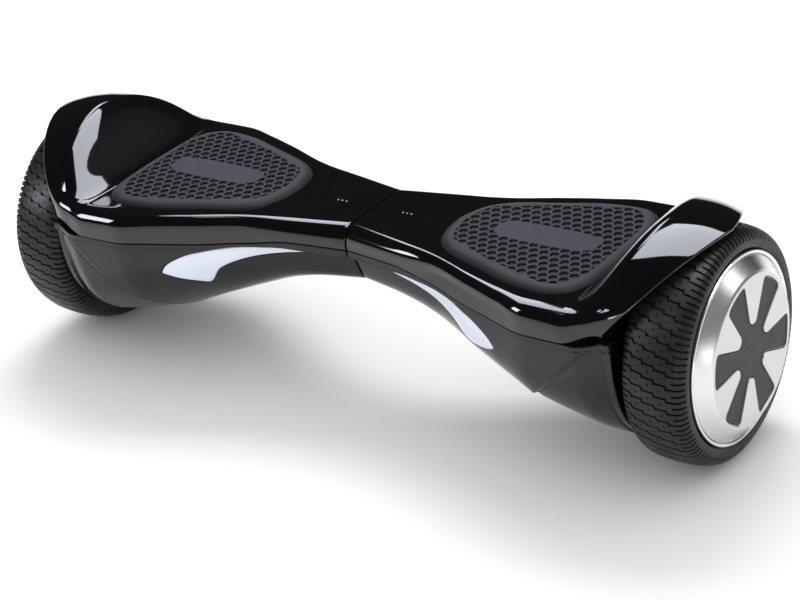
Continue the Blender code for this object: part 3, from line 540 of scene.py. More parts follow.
# painted shade: the mat's colour falls to a tenth below z 0.1366, over the floors of its pits and
# the foot of its border
look("mat_rubber", base=(0.027, 0.0285, 0.039), rough=0.60, colour_noise=(0.16, 45),
     rough_noise=(0.08, 90), bevel=0.0004, spec=0.12, dust=0.06,
     bumps=[("noise", 900.0, 0.18, 0.0002), ("noise", 2600.0, 0.2, 0.0001)],
     painted_depth_shade=(0.1366, 0.1381, 0.10), extra={"Sheen Weight": 0.1, "Sheen Roughness": 0.5})
look("tyre", base=(0.011, 0.0108, 0.0112), rough=0.44, colour_noise=(0.35, 25),
     rough_noise=(0.12, 50), spec=0.32, dust=0.22,
     bumps=[("noise", 700.0, 0.22, 0.0003), ("noise", 2400.0, 0.2, 0.0001)])
look("rim_polished", base=(0.82, 0.82, 0.83), rough=0.23, metal=1.0, colour_noise=(0.05, 20),
     rough_noise=(0.04, 80), rings=(0.0007, 0.02, 0.0002), aniso=0.6, bevel=0.0003)
look("hub_satin", base=(0.66, 0.67, 0.68), rough=0.42, metal=1.0, colour_noise=(0.05, 40),
     rough_noise=(0.05, 120), bumps=[("noise", 1800.0, 0.12, 0.0001)], bevel=0.0003)
look("insert_dark", base=(0.032, 0.032, 0.036), rough=0.50, colour_noise=(0.12, 60),
     rough_noise=(0.06, 90), bumps=[("noise", 1500.0, 0.18, 0.00015)], bevel=0.0002, spec=0.3)
look("lens", base=(0.72, 0.78, 0.90), rough=0.14, colour_noise=(0.05, 30),
     rough_noise=(0.03, 50), bumps=[("noise", 160.0, 0.05, 0.0003)], glow=0.12,
     extra={"Coat Weight": 0.6, "Coat Roughness": 0.03, "Subsurface Weight": 0.35,
            "Subsurface Radius": (0.6, 0.8, 1.0), "Subsurface Scale": 0.006})
look("steel", base=(0.46, 0.46, 0.47), rough=0.32, metal=1.0, colour_noise=(0.10, 60),
     rough_noise=(0.08, 120), bumps=[("noise", 900.0, 0.1, 0.0001)])
look("casting", base=(0.52, 0.53, 0.54), rough=0.52, metal=1.0, colour_noise=(0.12, 40),
     rough_noise=(0.10, 90),
     bumps=[("noise", 500.0, 0.4, 0.0003), ("voronoi", 350.0, 0.15, 0.0002)])
look("board", base=(0.015, 0.11, 0.045), rough=0.38, colour_noise=(0.35, 220),
     rough_noise=(0.12, 300), bumps=[("voronoi", 420.0, 0.3, 0.0002)])
look("winding", base=(0.55, 0.22, 0.08), rough=0.33, metal=1.0, colour_noise=(0.25, 160),
     rough_noise=(0.08, 200), rings=(0.0011, 0.6, 0.0004))
look("black_plastic", base=(0.014, 0.014, 0.015), rough=0.38, colour_noise=(0.2, 50),
     rough_noise=(0.08, 120), bumps=[("noise", 1500.0, 0.18, 0.0001)], bevel=0.0003)
look("bush", base=(0.50, 0.33, 0.14), rough=0.38, metal=1.0, colour_noise=(0.15, 90),
     rough_noise=(0.08, 120), bumps=[("noise", 800.0, 0.15, 0.0001)])
look("battery", base=(0.02, 0.09, 0.30), rough=0.35, colour_noise=(0.2, 40),
     rough_noise=(0.1, 60), bumps=[("noise", 90.0, 0.4, 0.001)])
look("cap_rubber", base=(0.018, 0.018, 0.019), rough=0.58, colour_noise=(0.2, 60),
     rough_noise=(0.08, 120), bumps=[("noise", 1600.0, 0.2, 0.0001)], bevel=0.0003)

# every CAD node that stays gets the procedural look of its slot
for part in frame["record"]["subparts"]:
    cad_object = frame["nodes"].get(part["node"])
    if cad_object is not None:
        cad_object.data.materials.clear()
        cad_object.data.materials.append(LOOK[part["material_slot"]])


def piece(obj, body, slot, *nodes, deg=32):
    """Shade a piece, give it its look, parent it to the empty of the body it rides on and hide
    the CAD nodes it replaces.
    """
    shade(obj, deg)
    obj.data.materials.clear()
    obj.data.materials.append(LOOK[slot])
    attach(obj, body)
    if nodes:
        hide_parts(*nodes)


def pair(obj, stem, body, slot, node_stem, deg=32):
    """The right-hand piece and its mirror image."""
    obj.name = stem + "_right"
    other = mirrored(obj, stem + "_left")
    piece(obj, "right_" + body, slot, node_stem + "_right", deg=deg)
    piece(other, "left_" + body, slot, node_stem + "_left", deg=deg)
    return obj, other


# ------------------------------------------------------------------ top cover
# stations along x: half width and height of the parting line, half width of the flat deck,
# power of the superellipse between them
seam_y = stations((0, 0.0385), (0.046, 0.047), (0.078, 0.0525), (0.12, 0.0685), (0.15, 0.0795),
                  (0.178, 0.0885), (0.215, 0.0895), (0.236, 0.0835))
seam_z = stations((0, 0.118), (0.046, 0.1195), (0.08, 0.1155), (0.12, 0.114), (0.215, 0.1145),
                  (0.236, 0.119))
flat_y = stations((0, 0.026), (0.0625, 0.039), (0.093, 0.047), (0.12, 0.057), (0.15, 0.066),
                  (0.18, 0.071), (0.236, 0.072))
corner_power = stations((0, 2.5), (0.06, 2.8), (0.10, 3.6), (0.16, 3.8), (0.236, 3.0))
SIDE_POINTS, FLAT_POINTS = 34, 12      # on one side of a section

LIP_R = 0.0905                         # fender radii about the axle
CREST_R = 0.0955
CREST_AT = 0.54                        # crest, as a fraction from the root to the lip
FENDER_ANGLE = np.radians(65.0)        # from the top to either end of the fender
LIP_ROUND = 0.0013
DECK_ROWS = np.linspace(HALF_GAP, X_ROOT, 96)
FENDER_STEPS = np.linspace(0, 1, 61)[1:]

ARCH_X = (0.2330, 0.2335, 0.2351, 0.2356)   # rows across the web under the fender
ARCH_R = 0.0365                             # its opening round the axle
ARCH_CHAMFER = 0.0005
ARCH_FOOT_YZ = (0.0812, 0.1205)
ARCH_SINK = 0.0013                          # its outer edge lies this deep in the cover

# half outline of the foot mat (x, y), from its inner to its outer end
MAT_HALF = [(0.0690, 0.0), (0.0705, 0.0125), (0.0765, 0.0280), (0.0880, 0.0385),
            (0.1010, 0.0452), (0.1260, 0.0540), (0.1520, 0.0632), (0.1740, 0.0668),
            (0.1890, 0.0658), (0.2005, 0.0580), (0.2065, 0.0450), (0.2090, 0.0240), (0.2096, 0.0)]
MAT_OUTLINE = closed_spline([(x, -y) for x, y in MAT_HALF] + MAT_HALF[-2:0:-1], 7)
MAT_GAP = 0.0004


def top_section(x):
    """Section of the deck at x, from the front parting line over the top to the rear one."""
    edge_y, edge_z, flat, power = seam_y(x), seam_z(x), flat_y(x), corner_power(x)
    angle = np.linspace(0, np.pi / 2, 160)
    y = flat + (edge_y - flat) * np.cos(angle) ** (2 / power)
    z = edge_z + (DECK_Z - edge_z) * np.sin(angle) ** (2 / power)
    half = resample(np.stack([y, z], 1), SIDE_POINTS)
    u = np.linspace(0, 1, FLAT_POINTS + 1)[1:]
    half = np.concatenate([half, np.stack([flat * (1 - u), np.full(FLAT_POINTS, DECK_Z)], 1)])
    return np.concatenate([half * [-1, 1], half[::-1][1:]])


def lip_x(angle):
    part = np.minimum(np.abs(angle), FENDER_ANGLE) / FENDER_ANGLE
    return X_LIP - (X_LIP - X_SIDE) * part ** 1.55


def fender_radius(s, angle, root_r):
    """Radius about the axle at fraction s from the root to the lip."""
    part = np.minimum(np.abs(angle) / FENDER_ANGLE, 1.0)
    top, flank = CREST_R - 0.002 * part**2, root_r - 0.0015
    crest = 0.5 * (top + flank + np.hypot(top - flank, 0.002))    # soft maximum of the two
    lip = LIP_R - 0.0018 * (1 - np.clip(part * 1.6, 0, 1)) + 0.0006 * part**4
    up = root_r + (crest - root_r) * smooth(np.clip(s / CREST_AT, 0, 1) ** 0.85)
    down = crest + (lip - crest) * np.clip((s - CREST_AT) / (1 - CREST_AT), 0, 1) ** 2.4
    return np.where(s < CREST_AT, up, down)


def top_skin():
    """Grid of the outer face: deck rows along x, then fender rows out to the lip."""
    rows = [at_x(x, top_section(x)) for x in DECK_ROWS]
    root_y, root_z = rows[-1][:, 1], rows[-1][:, 2] - AXLE_Z
    root_angle = np.arctan2(root_y, root_z)
    root_r = np.hypot(root_y, root_z)
    for s in FENDER_STEPS:
        angle = root_angle + (root_angle / 1.09 - root_angle) * smooth(s)
        span = lip_x(angle) - X_ROOT
        trimmed = s * (span - LIP_ROUND) / span
        radius = fender_radius(trimmed, angle, root_r)
        rows.append(np.stack(round_axle(X_ROOT + trimmed * span, radius, angle), 1))
    return np.array(rows)


def skin_normals(grid):
    normals = unit(np.cross(np.gradient(grid, axis=0), np.gradient(grid, axis=1)))
    return normals if normals[:4, grid.shape[1] // 2, 2].mean() > 0 else -normals


def arch(fender):
    """Web across the fender with a round opening for the axle."""
    foot_y, foot_z = ARCH_FOOT_YZ
    loops = []
    for x in ARCH_X:
        points = []
        for j in range(0, fender.shape[1], 2):
            column = fender[:, j]
            column = column[np.argsort(column[:, 0])]
            y, z = (np.interp(x, column[:, 0], column[:, k]) for k in (1, 2))
            radius = np.hypot(y, z - AXLE_Z) - ARCH_SINK
            points.append(round_axle(x, radius, np.arctan2(y, z - AXLE_Z)))
        points[0], points[-1] = (x, -foot_y, foot_z), (x, foot_y, foot_z)
        radius = ARCH_R + (ARCH_CHAMFER if x in (ARCH_X[0], ARCH_X[-1]) else 0.0)
        for angle in np.radians(np.linspace(61, -61, 25)):
            points.append(round_axle(x, radius, angle))
        loops.append(points)
    return loft("arch", loops)


def top_cover():
    outer = top_skin()
    inner = outer - skin_normals(outer) * WALL
    deck = len(DECK_ROWS)
    inner[0, :, 0] = outer[0, :, 0]
    for edge in (0, -1):
        inner[:deck, edge, 2] = outer[:deck, edge, 2]
    cover = shell("top_cover", outer, inner)
    join(cover, arch(outer[deck - 1:]))
    # mat opening, widened at the deck, as (gap, z); then the three indicator holes
    opening = [(MAT_GAP, 0.128), (MAT_GAP, DECK_Z - 0.0005), (MAT_GAP + 0.0002, DECK_Z - 0.0002),
               (MAT_GAP + 0.0005, DECK_Z + 0.0002), (MAT_GAP + 0.0005, 0.140)]
    cutters = [loft("cutter", [at_z(z, grow(MAT_OUTLINE, gap)) for gap, z in opening])]
    hole = solid((0.128, 0.0010), (DECK_Z - 0.0002, 0.0010), (DECK_Z + 0.0001, 0.0012),
                 (0.140, 0.0012))
    for x in WINDOWS_X:
        cutters.append(revolve("cutter", hole, 24, (x, 0.0), "z"))
    cut(cover, gather("cutter", cutters))
    return cover


# ------------------------------------------------------------------ bottom cover
# stations along x: step in from the parting line, height of the lowest line, power and
# taper of the section, height of the flush strip under the parting line
low_inset = stations((0, 0.0065), (0.05, 0.0040), (0.095, 0.0016), (0.120, 0.0), (0.236, 0.0))
keel_z = stations((0, 0.083), (0.03, 0.081), (0.06, 0.0745), (0.09, 0.0635), (0.12, 0.052),
                  (0.157, 0.0365), (0.19, 0.025), (0.236, 0.0125))
low_power = stations((0, 12.0), (0.06, 5.0), (0.12, 2.7), (0.236, 2.5))
low_taper = stations((0, 0.36), (0.06, 0.20), (0.12, 0.03), (0.236, 0.0))
strip_height = stations((0, 0.0056), (0.033, 0.0058), (0.062, 0.0042), (0.083, 0.0031),
                        (0.105, 0.0034), (0.236, 0.0035))
RIM_GAP = 0.0006                         # between the top and bottom covers
LOW_POINTS = 120                         # on one side of a section
RIM_POINTS = 3                           # strip points at each end of a section

FLANK_END_OUT, FLANK_END_IN = 0.2341, 0.2331   # x where the flank turns into the end wall
WALL_X_OUT, WALL_X_IN = 0.2356, 0.2330         # faces of the end wall beside the wheel
END_ROUND = 0.0015
AXLE_HOLE_R = 0.0340
LOW_ROWS = np.r_[np.linspace(HALF_GAP, 0.140, 50), np.linspace(0.140, FLANK_END_OUT, 110)[1:]]
FLANGE_X = (0.2338, 0.2352, 0.2368, 0.2384, 0.2396)
SCREW_XY = (0.105, 0.030)


def crease(x, z):
    """Slanted step in the flank: the panel beside the wheel lies a little deeper."""
    across = (x - (0.2285 - (0.114 - z))) * 0.707
    step = smooth(across / 0.0050 + 0.5)
    lip = np.exp(-((across + 0.0024) / 0.0020) ** 2)
    groove = np.exp(-((across - 0.0016) / 0.0014) ** 2)
    return (0.0003 * lip - 0.0019 * step - 0.0009 * groove) * smooth((0.1125 - z) / 0.0040)


def low_section(x, inset=0.0):
    """Section of the bottom cover at x, from the front rim under the keel to the rear rim."""
    rim_z = seam_z(x) - RIM_GAP - 0.0020 * smooth((x - X_ROOT) / (X_SIDE - X_ROOT))
    strip_z = rim_z - strip_height(x)
    flank_z = strip_z - 0.0003
    angle = np.linspace(0.0, np.pi / 2, 500)
    fall = np.sin(angle) ** (2 / low_power(x))
    y = (seam_y(x) - low_inset(x)) * (1 - low_taper(x) * fall) * np.cos(angle)
    z = flank_z - fall * (flank_z - keel_z(x))
    y[-1] = 0.0
    half = resample(np.stack([y, z], 1), LOW_POINTS)
    half[-1] = (0.0, keel_z(x))
    full = np.concatenate([half * [-1, 1], half[::-1][1:]])
    along = np.gradient(full, axis=0)
    normal = unit(np.stack([along[:, 1], -along[:, 0]], 1))
    full = full + normal * (crease(x, full[:, 1]) - inset)[:, None]
    rim_y = seam_y(x) - 0.0002 - inset
    if inset:
        top = min(strip_z + 0.0026, rim_z - 0.0009)
        full[:, 1] = np.minimum(full[:, 1], top)
        full[0, 1] = full[-1, 1] = top
        heights = (rim_z, rim_z - 0.0003, rim_z - 0.0006)
    else:
        heights = (rim_z, rim_z - strip_height(x) * 0.5, strip_z + 0.0003)
    rim = np.array([(-rim_y, z) for z in heights])
    return np.concatenate([rim, full, rim[::-1] * [-1, 1]])


def drawn_in(section, pull):
    """Section drawn towards the axle; its rim points keep their height."""
    drawn = section + unit(np.array([0.0, AXLE_Z]) - section) * pull
    for rim in (slice(None, RIM_POINTS), slice(-RIM_POINTS, None)):
        drawn[rim, 1] = section[rim, 1]
    return drawn


def low_shell():
    outer, inner = [], []
    for x in LOW_ROWS:
        x_in = x if x < 0.2 else 0.2 + (x - 0.2) * (FLANK_END_IN - 0.2) / (FLANK_END_OUT - 0.2)
        outer.append(at_x(x, low_section(x)))
        inner.append(at_x(x_in, low_section(x, WALL)))
    # rounded corner into the end wall beside the wheel
    end_out, end_in = low_section(WALL_X_OUT), low_section(WALL_X_OUT, WALL)
    for k in range(1, 5):
        t = quarter(k, 4)
        outer.append(at_x(FLANK_END_OUT + END_ROUND * np.sin(t),
                          drawn_in(end_out, END_ROUND * (1 - np.cos(t)))))
        inner.append(at_x(FLANK_END_IN - 0.0001 * k, drawn_in(end_in, 0.0002 * k)))
    # the end wall, down to the axle hole
    angle = np.arctan2(end_out[:, 0], -(end_out[:, 1] - AXLE_Z))
    angle = angle * (np.radians(115) / np.abs(angle).max())
    hole = np.stack([AXLE_HOLE_R * np.sin(angle), AXLE_Z - AXLE_HOLE_R * np.cos(angle)], 1)
    for u in (0.25, 0.6, 1.0):
        outer.append(at_x(WALL_X_OUT, (1 - u) * drawn_in(end_out, END_ROUND) + hole * u))
        inner.append(at_x(WALL_X_IN, (1 - u) * drawn_in(end_in, 0.0008) + hole * u))
    return shell("bottom_cover", outer, inner, edge_r=0.0004, steps=2, round_end=False)


def bottom_cover():
    cover = low_shell()
    # screw tower inside, trimmed to the cover, and the round boss at the back
    fill = loft("fill", [at_x(x, low_section(x, 0.0012)[::6]) for x in DECK_ROWS[::3]])
    tower = revolve("tower", solid((0.040, 0.0058), (0.0885, 0.0058)), 32, SCREW_XY, "z")
    combine(tower, fill, "INTERSECT")
    boss = revolve("boss", fillet([
        (REAR_Y - 0.0100, 0, 0), (REAR_Y - 0.0100, 0.0125, 0),
        (REAR_Y, 0.0125, 0.0006), (REAR_Y, 0, 0)]), 64, BUTTON_XZ, "y")
    join(cover, gather("bosses", [tower, boss]))
    well = revolve("cutter", solid((0.030, 0.0043), (0.0845, 0.0043), (0.0845, 0.0022),
                                   (0.0950, 0.0022)), 32, SCREW_XY, "z")
    port = revolve("cutter", solid((REAR_Y - 0.030, 0.0083), (REAR_Y, 0.0083), (REAR_Y, 0.0108),
                                   (REAR_Y + 0.020, 0.0108)), 64, BUTTON_XZ, "y")
    upper, lower = crescent(-0.0003, 40)
    outline = [*upper, *lower[::-1]]
    lamp = loft("cutter", [at_y(y, outline) for y in (-0.100, -0.030)])
    cut(cover, gather("cutter", [well, port, lamp]))
    return cover


def shell_flange():
    """Flange that carries the flank on towards the wheel."""
    outer, inner = low_section(0.2343), low_section(0.2343, WALL)
    return shell("flange", [at_x(x, drawn_in(outer, 0.0012)) for x in FLANGE_X],
                 [at_x(x, drawn_in(inner, 0.0004)) for x in FLANGE_X],
                 edge_r=0.0004, steps=2, start_r=0.0)


# ------------------------------------------------------------------ lamp
# crescent from its inner tip (t = 0) to its rounded outer end (t = 1):
# t, upper x, upper z, lower x, lower z
LAMP_EDGES = np.array([
    (0.00, 0.0290, 0.1117, 0.0300, 0.1108),
    (0.25, 0.0580, 0.1127, 0.0590, 0.1068),
    (0.50, 0.0880, 0.1112, 0.0875, 0.1000),
    (0.65, 0.1060, 0.1090, 0.1035, 0.0930),
    (0.78, 0.1215, 0.1060, 0.1155, 0.0795),
    (0.88, 0.1330, 0.1015, 0.1240, 0.0812),
    (0.95, 0.1420, 0.0957, 0.1345, 0.0838),
    (1.00, 0.1460, 0.0905, 0.1436, 0.0880),
])


def crescent(shrink, count):
    """Upper and lower (x, z) edges of the lamp, moved inwards by shrink."""
    t = np.linspace(0, 1, count)
    edges = np.stack([curve(t, LAMP_EDGES[:, (0, k)]) for k in range(1, 5)], 1)
    upper, lower = edges[:, :2], edges[:, 2:]
    across = upper - lower
    width = np.linalg.norm(across, axis=1)[:, None]
    move = across / width * np.minimum(shrink, width * 0.3)
    upper, lower = upper - move, lower + move
    if shrink > 0:
        for edge in (upper, lower):
            edge[0, 0] += shrink
        for edge in (upper, lower):
            edge[-1, 0] -= shrink
    return upper, lower


def low_outer_y(x, z):
    """Half width of the bottom cover's outer face at (x, z)."""
    section = low_section(x)[RIM_POINTS:-RIM_POINTS]
    half = section[section[:, 0] >= 0]
    half = half[np.argsort(half[:, 1])]
    return float(np.interp(z, half[:, 1], half[:, 0]))


def lamp_lens():
    """Slightly domed window that follows the front flank."""
    outer, inner = [], []
    for high, low in zip(*crescent(0.0004, 64)):
        outer_row, inner_row = [], []
        for s in np.linspace(0, 1, 13):
            x, z = low + (high - low) * s
            y = low_outer_y(x, z)
            dome = 0.0003 + 0.0007 * np.sin(np.pi * s) ** 0.6
            outer_row.append((x, -y - dome + 0.0005, z))
            inner_row.append((x, -y + 0.0024, z))
        outer.append(outer_row)
        inner.append(inner_row)
    return shell("lens", outer, inner, edge_r=0.0003, steps=2, round_end=False, start_r=0.0)


# ------------------------------------------------------------------ foot mat
MAT_TOP = 0.1385
MAT_BEVEL = 0.0085                        # width of the sloping border
MAT_FLOOR = DECK_Z - WALL - 0.0004
PEGS_X = (0.100, 0.180)                   # flat pegs under the mat
PITCH_X, PITCH_Y, HEX_R = 0.00825, 0.00714, 0.00392
PLATE_CENTRE = (0.1455, 0.0010)           # plain superellipse plate among the pits
PLATE_HALF = (0.0408, 0.0132)
PLATE_POWER = 3.2
MIN_PIT_AREA = 5.0e-6
# pit from its mouth to the floor, raised in the middle: (scale, depth below the mat top)
PIT_LEVELS = [(1.0, -0.0002), (0.965, 0.0002), (0.93, 0.0005), (0.90, 0.0020),
              (0.80, 0.0020), (0.62, 0.0014)]


def clip_convex(poly, region):
    """Part of a convex polygon inside a convex counter-clockwise region."""
    out = list(poly)
    for i, start in enumerate(region):
        edge = region[(i + 1) % len(region)] - start
        inwards = np.array([-edge[1], edge[0]])
        source, out = out, []
        for j, p in enumerate(source):
            q = source[(j + 1) % len(source)]
            depth_p, depth_q = (p - start) @ inwards, (q - start) @ inwards
            if depth_p >= 0:
                out.append(p)
            if (depth_p < 0) != (depth_q < 0):
                out.append(p + (q - p) * depth_p / (depth_p - depth_q))
        if len(out) < 3:
            return []
    return out


def tidy(poly, tolerance=0.0003):
    """Drop corners that nearly coincide."""
    out = []
    for p in poly:
        if not out or np.linalg.norm(p - out[-1]) > tolerance:
            out.append(p)
    while len(out) > 2 and np.linalg.norm(out[0] - out[-1]) <= tolerance:
        out.pop()
    return out


def inset_mat(distance):
    """Mat outline drawn towards its middle."""
    middle = MAT_OUTLINE.mean(axis=0)
    away = np.linalg.norm(MAT_OUTLINE - middle, axis=1)[:, None]
    return middle + (MAT_OUTLINE - middle) * (1 - distance / away)


def outside_plate(centre):
    """Region beyond the plate's tangent nearest to a pit, or None for a pit on the plate."""
    plate, half = np.array(PLATE_CENTRE), np.array(PLATE_HALF)
    offset = centre - plate
    reach = (abs(offset[0] / half[0]) ** PLATE_POWER
             + abs(offset[1] / half[1]) ** PLATE_POWER) ** (1 / PLATE_POWER)
    if reach < 0.93:
        return None
    near = plate + offset / reach
    outwards = unit(np.sign(offset) * (abs(near - plate) / half) ** (PLATE_POWER - 1) / half)
    side = np.array([-outwards[1], outwards[0]]) * 0.05
    out = outwards * 0.2
    return np.array([near - side + out, near + side + out, near + side, near - side])


def pit_cutters():
    """Hexagonal pits, trimmed at the border of the mat and round the plate."""
    field = inset_mat(MAT_BEVEL + 0.0006)
    hexagon = [np.array([HEX_R * np.sin(np.pi / 3 * k), HEX_R * np.cos(np.pi / 3 * k)])
               for k in range(5, -1, -1)]
    cutters = []
    for j in range(-10, 11):
        for i in range(-2, 22):
            shift = 0.5 * PITCH_X if j % 2 else 0.0
            centre = np.array([0.0700 + i * PITCH_X + shift, j * PITCH_Y])
            poly = clip_convex([centre + corner for corner in hexagon], field)
            region = outside_plate(centre)
            if len(poly) < 3 or region is None:
                continue
            poly = tidy(clip_convex(poly, region))
            if len(poly) < 3 or abs(signed_area(poly)) < MIN_PIT_AREA:
                continue
            middle = np.array(poly).mean(axis=0)
            cutters.append(loft("cutter", [
                at_z(MAT_TOP - depth, [middle + (p - middle) * scale for p in poly])
                for scale, depth in PIT_LEVELS]))
    return cutters


def foot_mat():
    base = grow(MAT_OUTLINE, 0.0030)
    base[:, 0] = np.minimum(base[:, 0], 0.2112)
    # (inset, z) up the rounded foot of the border, then up its slope
    border_z, border_in = DECK_Z + 0.0010, 0.0012
    profile = [(0.0, MAT_FLOOR), (0.0, DECK_Z - 0.0002), (0.0001, DECK_Z + 0.0002),
               (0.0005, DECK_Z + 0.0006), (border_in, border_z)]
    rise = MAT_TOP - DECK_Z - 0.0010
    for u in (0.2, 0.4, 0.6, 0.8, 0.92, 1.0):
        profile.append((border_in + (MAT_BEVEL - border_in) * u,
                        border_z + rise * (1 - (1 - u) ** 1.7)))
    loops = [at_z(MAT_FLOOR - 0.0015, base), at_z(MAT_FLOOR, base)]
    mat = loft("mat", loops + [at_z(z, inset_mat(inset)) for inset, z in profile])
    for x in PEGS_X:
        foot = rectangle(x - 0.004, x + 0.004, -0.001, 0.001)
        join(mat, loft("peg", [at_z(z, foot) for z in (0.1138, MAT_FLOOR - 0.0010)]))
    cut(mat, gather("cutter", pit_cutters()))
    return mat


# ------------------------------------------------------------------ tyres
TYRE_MID = 0.2678
TREADS = 56
JOGS = (-0.0135, -0.0050, 0.0040, 0.0125)     # axial places where a groove steps sideways
PINS = (-0.0172, -0.0092, -0.0005, 0.0082)    # small pits between the grooves

# outside of the tyre (x, radius), from the inner bead over the tread to the outer one
TYRE_SECTION = np.array([
    (0.2494, 0.0670), (0.2462, 0.0673), (0.2450, 0.0684), (0.2444, 0.0702), (0.2444, 0.0730),
    (0.2452, 0.0760), (0.2470, 0.0786), (0.2500, 0.0803), (0.2545, 0.0815), (0.2610, 0.0822),
    (0.2678, 0.0825), (0.2746, 0.0822), (0.2811, 0.0815), (0.2856, 0.0803), (0.2886, 0.0786),
    (0.2904, 0.0760), (0.2912, 0.0730), (0.2912, 0.0702), (0.2906, 0.0684), (0.2894, 0.0673),
    (0.2862, 0.0670)])

# columns round one tread pitch, as fractions of it
TREAD_COLUMNS = np.array([-0.080, -0.055, 0.055, 0.080, 0.17, 0.195, 0.26, 0.33, 0.415, 0.440,
                          0.465, 0.535, 0.560, 0.585, 0.67, 0.74, 0.805, 0.83])


def groove_path(axial):
    """Arc position of a groove at an axial offset: a slight slope with a step at each jog."""
    axial = np.clip(axial, -0.0190, 0.0190)
    arc = 0.12 * axial
    for jog in JOGS:
        arc = arc + 0.0018 * np.clip((axial - jog) / 0.0010 + 0.5, 0, 1)
    return arc


def tyre_stations(side):
    """Section points (x, radius): even, with more at the jogs, pits and shoulder slots."""
    length = np.r_[0, np.cumsum(np.linalg.norm(np.diff(TYRE_SECTION, axis=0), axis=1))]
    end = length[-1]
    dense = np.linspace(0, end, 2400)
    dense_x, dense_r = (curve(dense, list(zip(length, column))) for column in TYRE_SECTION.T)
    tread = slice(400, -400)
    at = list(np.linspace(0, end, 74))
    for places, offsets in ((JOGS, (-0.0008, -0.0005, 0.0, 0.0005, 0.0008)),
                            (PINS, (-0.0007, -0.0004, 0.0004, 0.0007))):
        for place in places:
            for offset in offsets:
                at.append(np.interp(TYRE_MID + side * (place + offset),
                                    dense_x[tread], dense[tread]))
    for sign in (-1, 1):
        own_half = dense > end * 0.5 if sign > 0 else dense <= end * 0.5
        for offset in (0.0158, 0.0163, 0.0178, 0.0183, 0.0226, 0.0230):
            # the sidewall below the shoulder is ruled out by a large penalty
            miss = np.abs(dense_x - (TYRE_MID + sign * offset)) + (dense_r < 0.0735) * 1.0
            at.append(dense[np.argmin(np.where(own_half, miss, 9.0))])
    at = np.unique(np.round(np.array(at), 5))
    keep = [at[0]]
    for s in at[1:]:
        if s - keep[-1] > 0.00012:
            keep.append(s)
    return np.interp(keep, dense, dense_x), np.interp(keep, dense, dense_r)


def tread_depth(column, axial, radius):
    """Depth below the smooth tyre for each tread column and section point."""
    off = np.abs(axial)
    grooves = ((radius > 0.0742) & (off < 0.0236)) * 0.0019
    slots = ((off > 0.0165) & (off < 0.0231) & (radius > 0.0738)) * 0.0017
    depth = np.maximum((np.abs(column) < 0.06)[:, None] * grooves[None, :],
                       (np.abs(column - 0.5) < 0.07)[:, None] * slots[None, :])
    beside_groove = (np.abs(column) < 0.18) | (column > 0.82)
    between = (column > 0.45) & (column < 0.55)
    for jog in JOGS:
        at = (np.abs(axial - jog) < 0.00065) & (radius > 0.079)
        depth = np.maximum(depth, beside_groove[:, None] * (at * 0.0019)[None, :])
    for pin in PINS:
        at = (np.abs(axial - pin) < 0.00055) & (radius > 0.078)
        depth = np.maximum(depth, between[:, None] * (at * 0.0014)[None, :])
    return depth


def tyre(name, side):
    """Treaded tyre; side is 1 on the right and -1 on the left."""
    x, radius = tyre_stations(side)
    along_x, along_r = np.gradient(x), np.gradient(radius)
    length = np.hypot(along_x, along_r)
    normal_x, normal_r = -along_r / length, along_x / length
    axial = (x - TYRE_MID) * side
    tread = np.repeat(np.arange(TREADS), len(TREAD_COLUMNS))
    column = np.tile(TREAD_COLUMNS, TREADS)
    pitch = 2 * np.pi / TREADS
    angle = (tread + column)[:, None] * pitch + (groove_path(axial) / WHEEL_R)[None, :]
    depth = tread_depth(column, axial, radius)
    cut_r = radius[None, :] - depth * normal_r[None, :]
    cut_x = x[None, :] - depth * normal_x[None, :]
    verts = np.stack([cut_x * side, -cut_r * np.sin(angle), AXLE_Z + cut_r * np.cos(angle)], 2)
    index = np.arange(angle.size).reshape(angle.shape)
    after = np.roll(index, -1, 0)
    faces = np.stack([index, np.roll(index, -1, 1), np.roll(after, -1, 1), after], 2)
    return make(name, verts.reshape(-1, 3), faces.reshape(-1, 4).tolist(), merge=1e-7)


# ------------------------------------------------------------------ rims and hubs
WHEEL_SEGMENTS = 144
FACE_X = 0.3000                       # outer face of the hub cover
POCKET_X = 0.2984                     # floor of the petal pocket
CONE_R = 0.0530                       # the polished cone lies outside this radius
PETAL_COUNT = 6
PETAL_R, PETAL_HALF = 0.0510, np.radians(14.5)
PETAL_ROUND, PETAL_ROUND_ANGLE = 0.0038, 0.078   # corner rounding along the flank and the tip
TONGUE_R, TONGUE_AT = 0.0050, 0.0240  # round end of the land between two petals

# (x, radius, corner radius)
RIM_PROFILE = [
    (0.2460, 0.0610, 0), (0.2460, 0.0668, 0.0005), (0.2914, 0.0668, 0.0003),
    (0.2922, 0.0665, 0.0005), (0.2922, 0.0652, 0.0006), (0.2914, 0.0643, 0.0005),
    (0.2900, 0.0641, 0), (0.2900, 0.0610, 0)]
HUB_PROFILE = [
    (FACE_X, 0, 0), (FACE_X, 0.0534, 0.0012), (0.2988, 0.0552, 0.0010),
    (0.2915, 0.0637, 0.0008), (0.2903, 0.0639, 0), (0.2903, 0.0600, 0), (0.2956, 0.0530, 0),
    (0.2956, 0.0178, 0), (0.2870, 0.0178, 0), (0.2870, 0.0143, 0), (0.2954, 0.0143, 0),
    (0.2954, 0, 0)]


def polar(radius, angle):
    return np.array([radius * np.cos(angle), radius * np.sin(angle)])


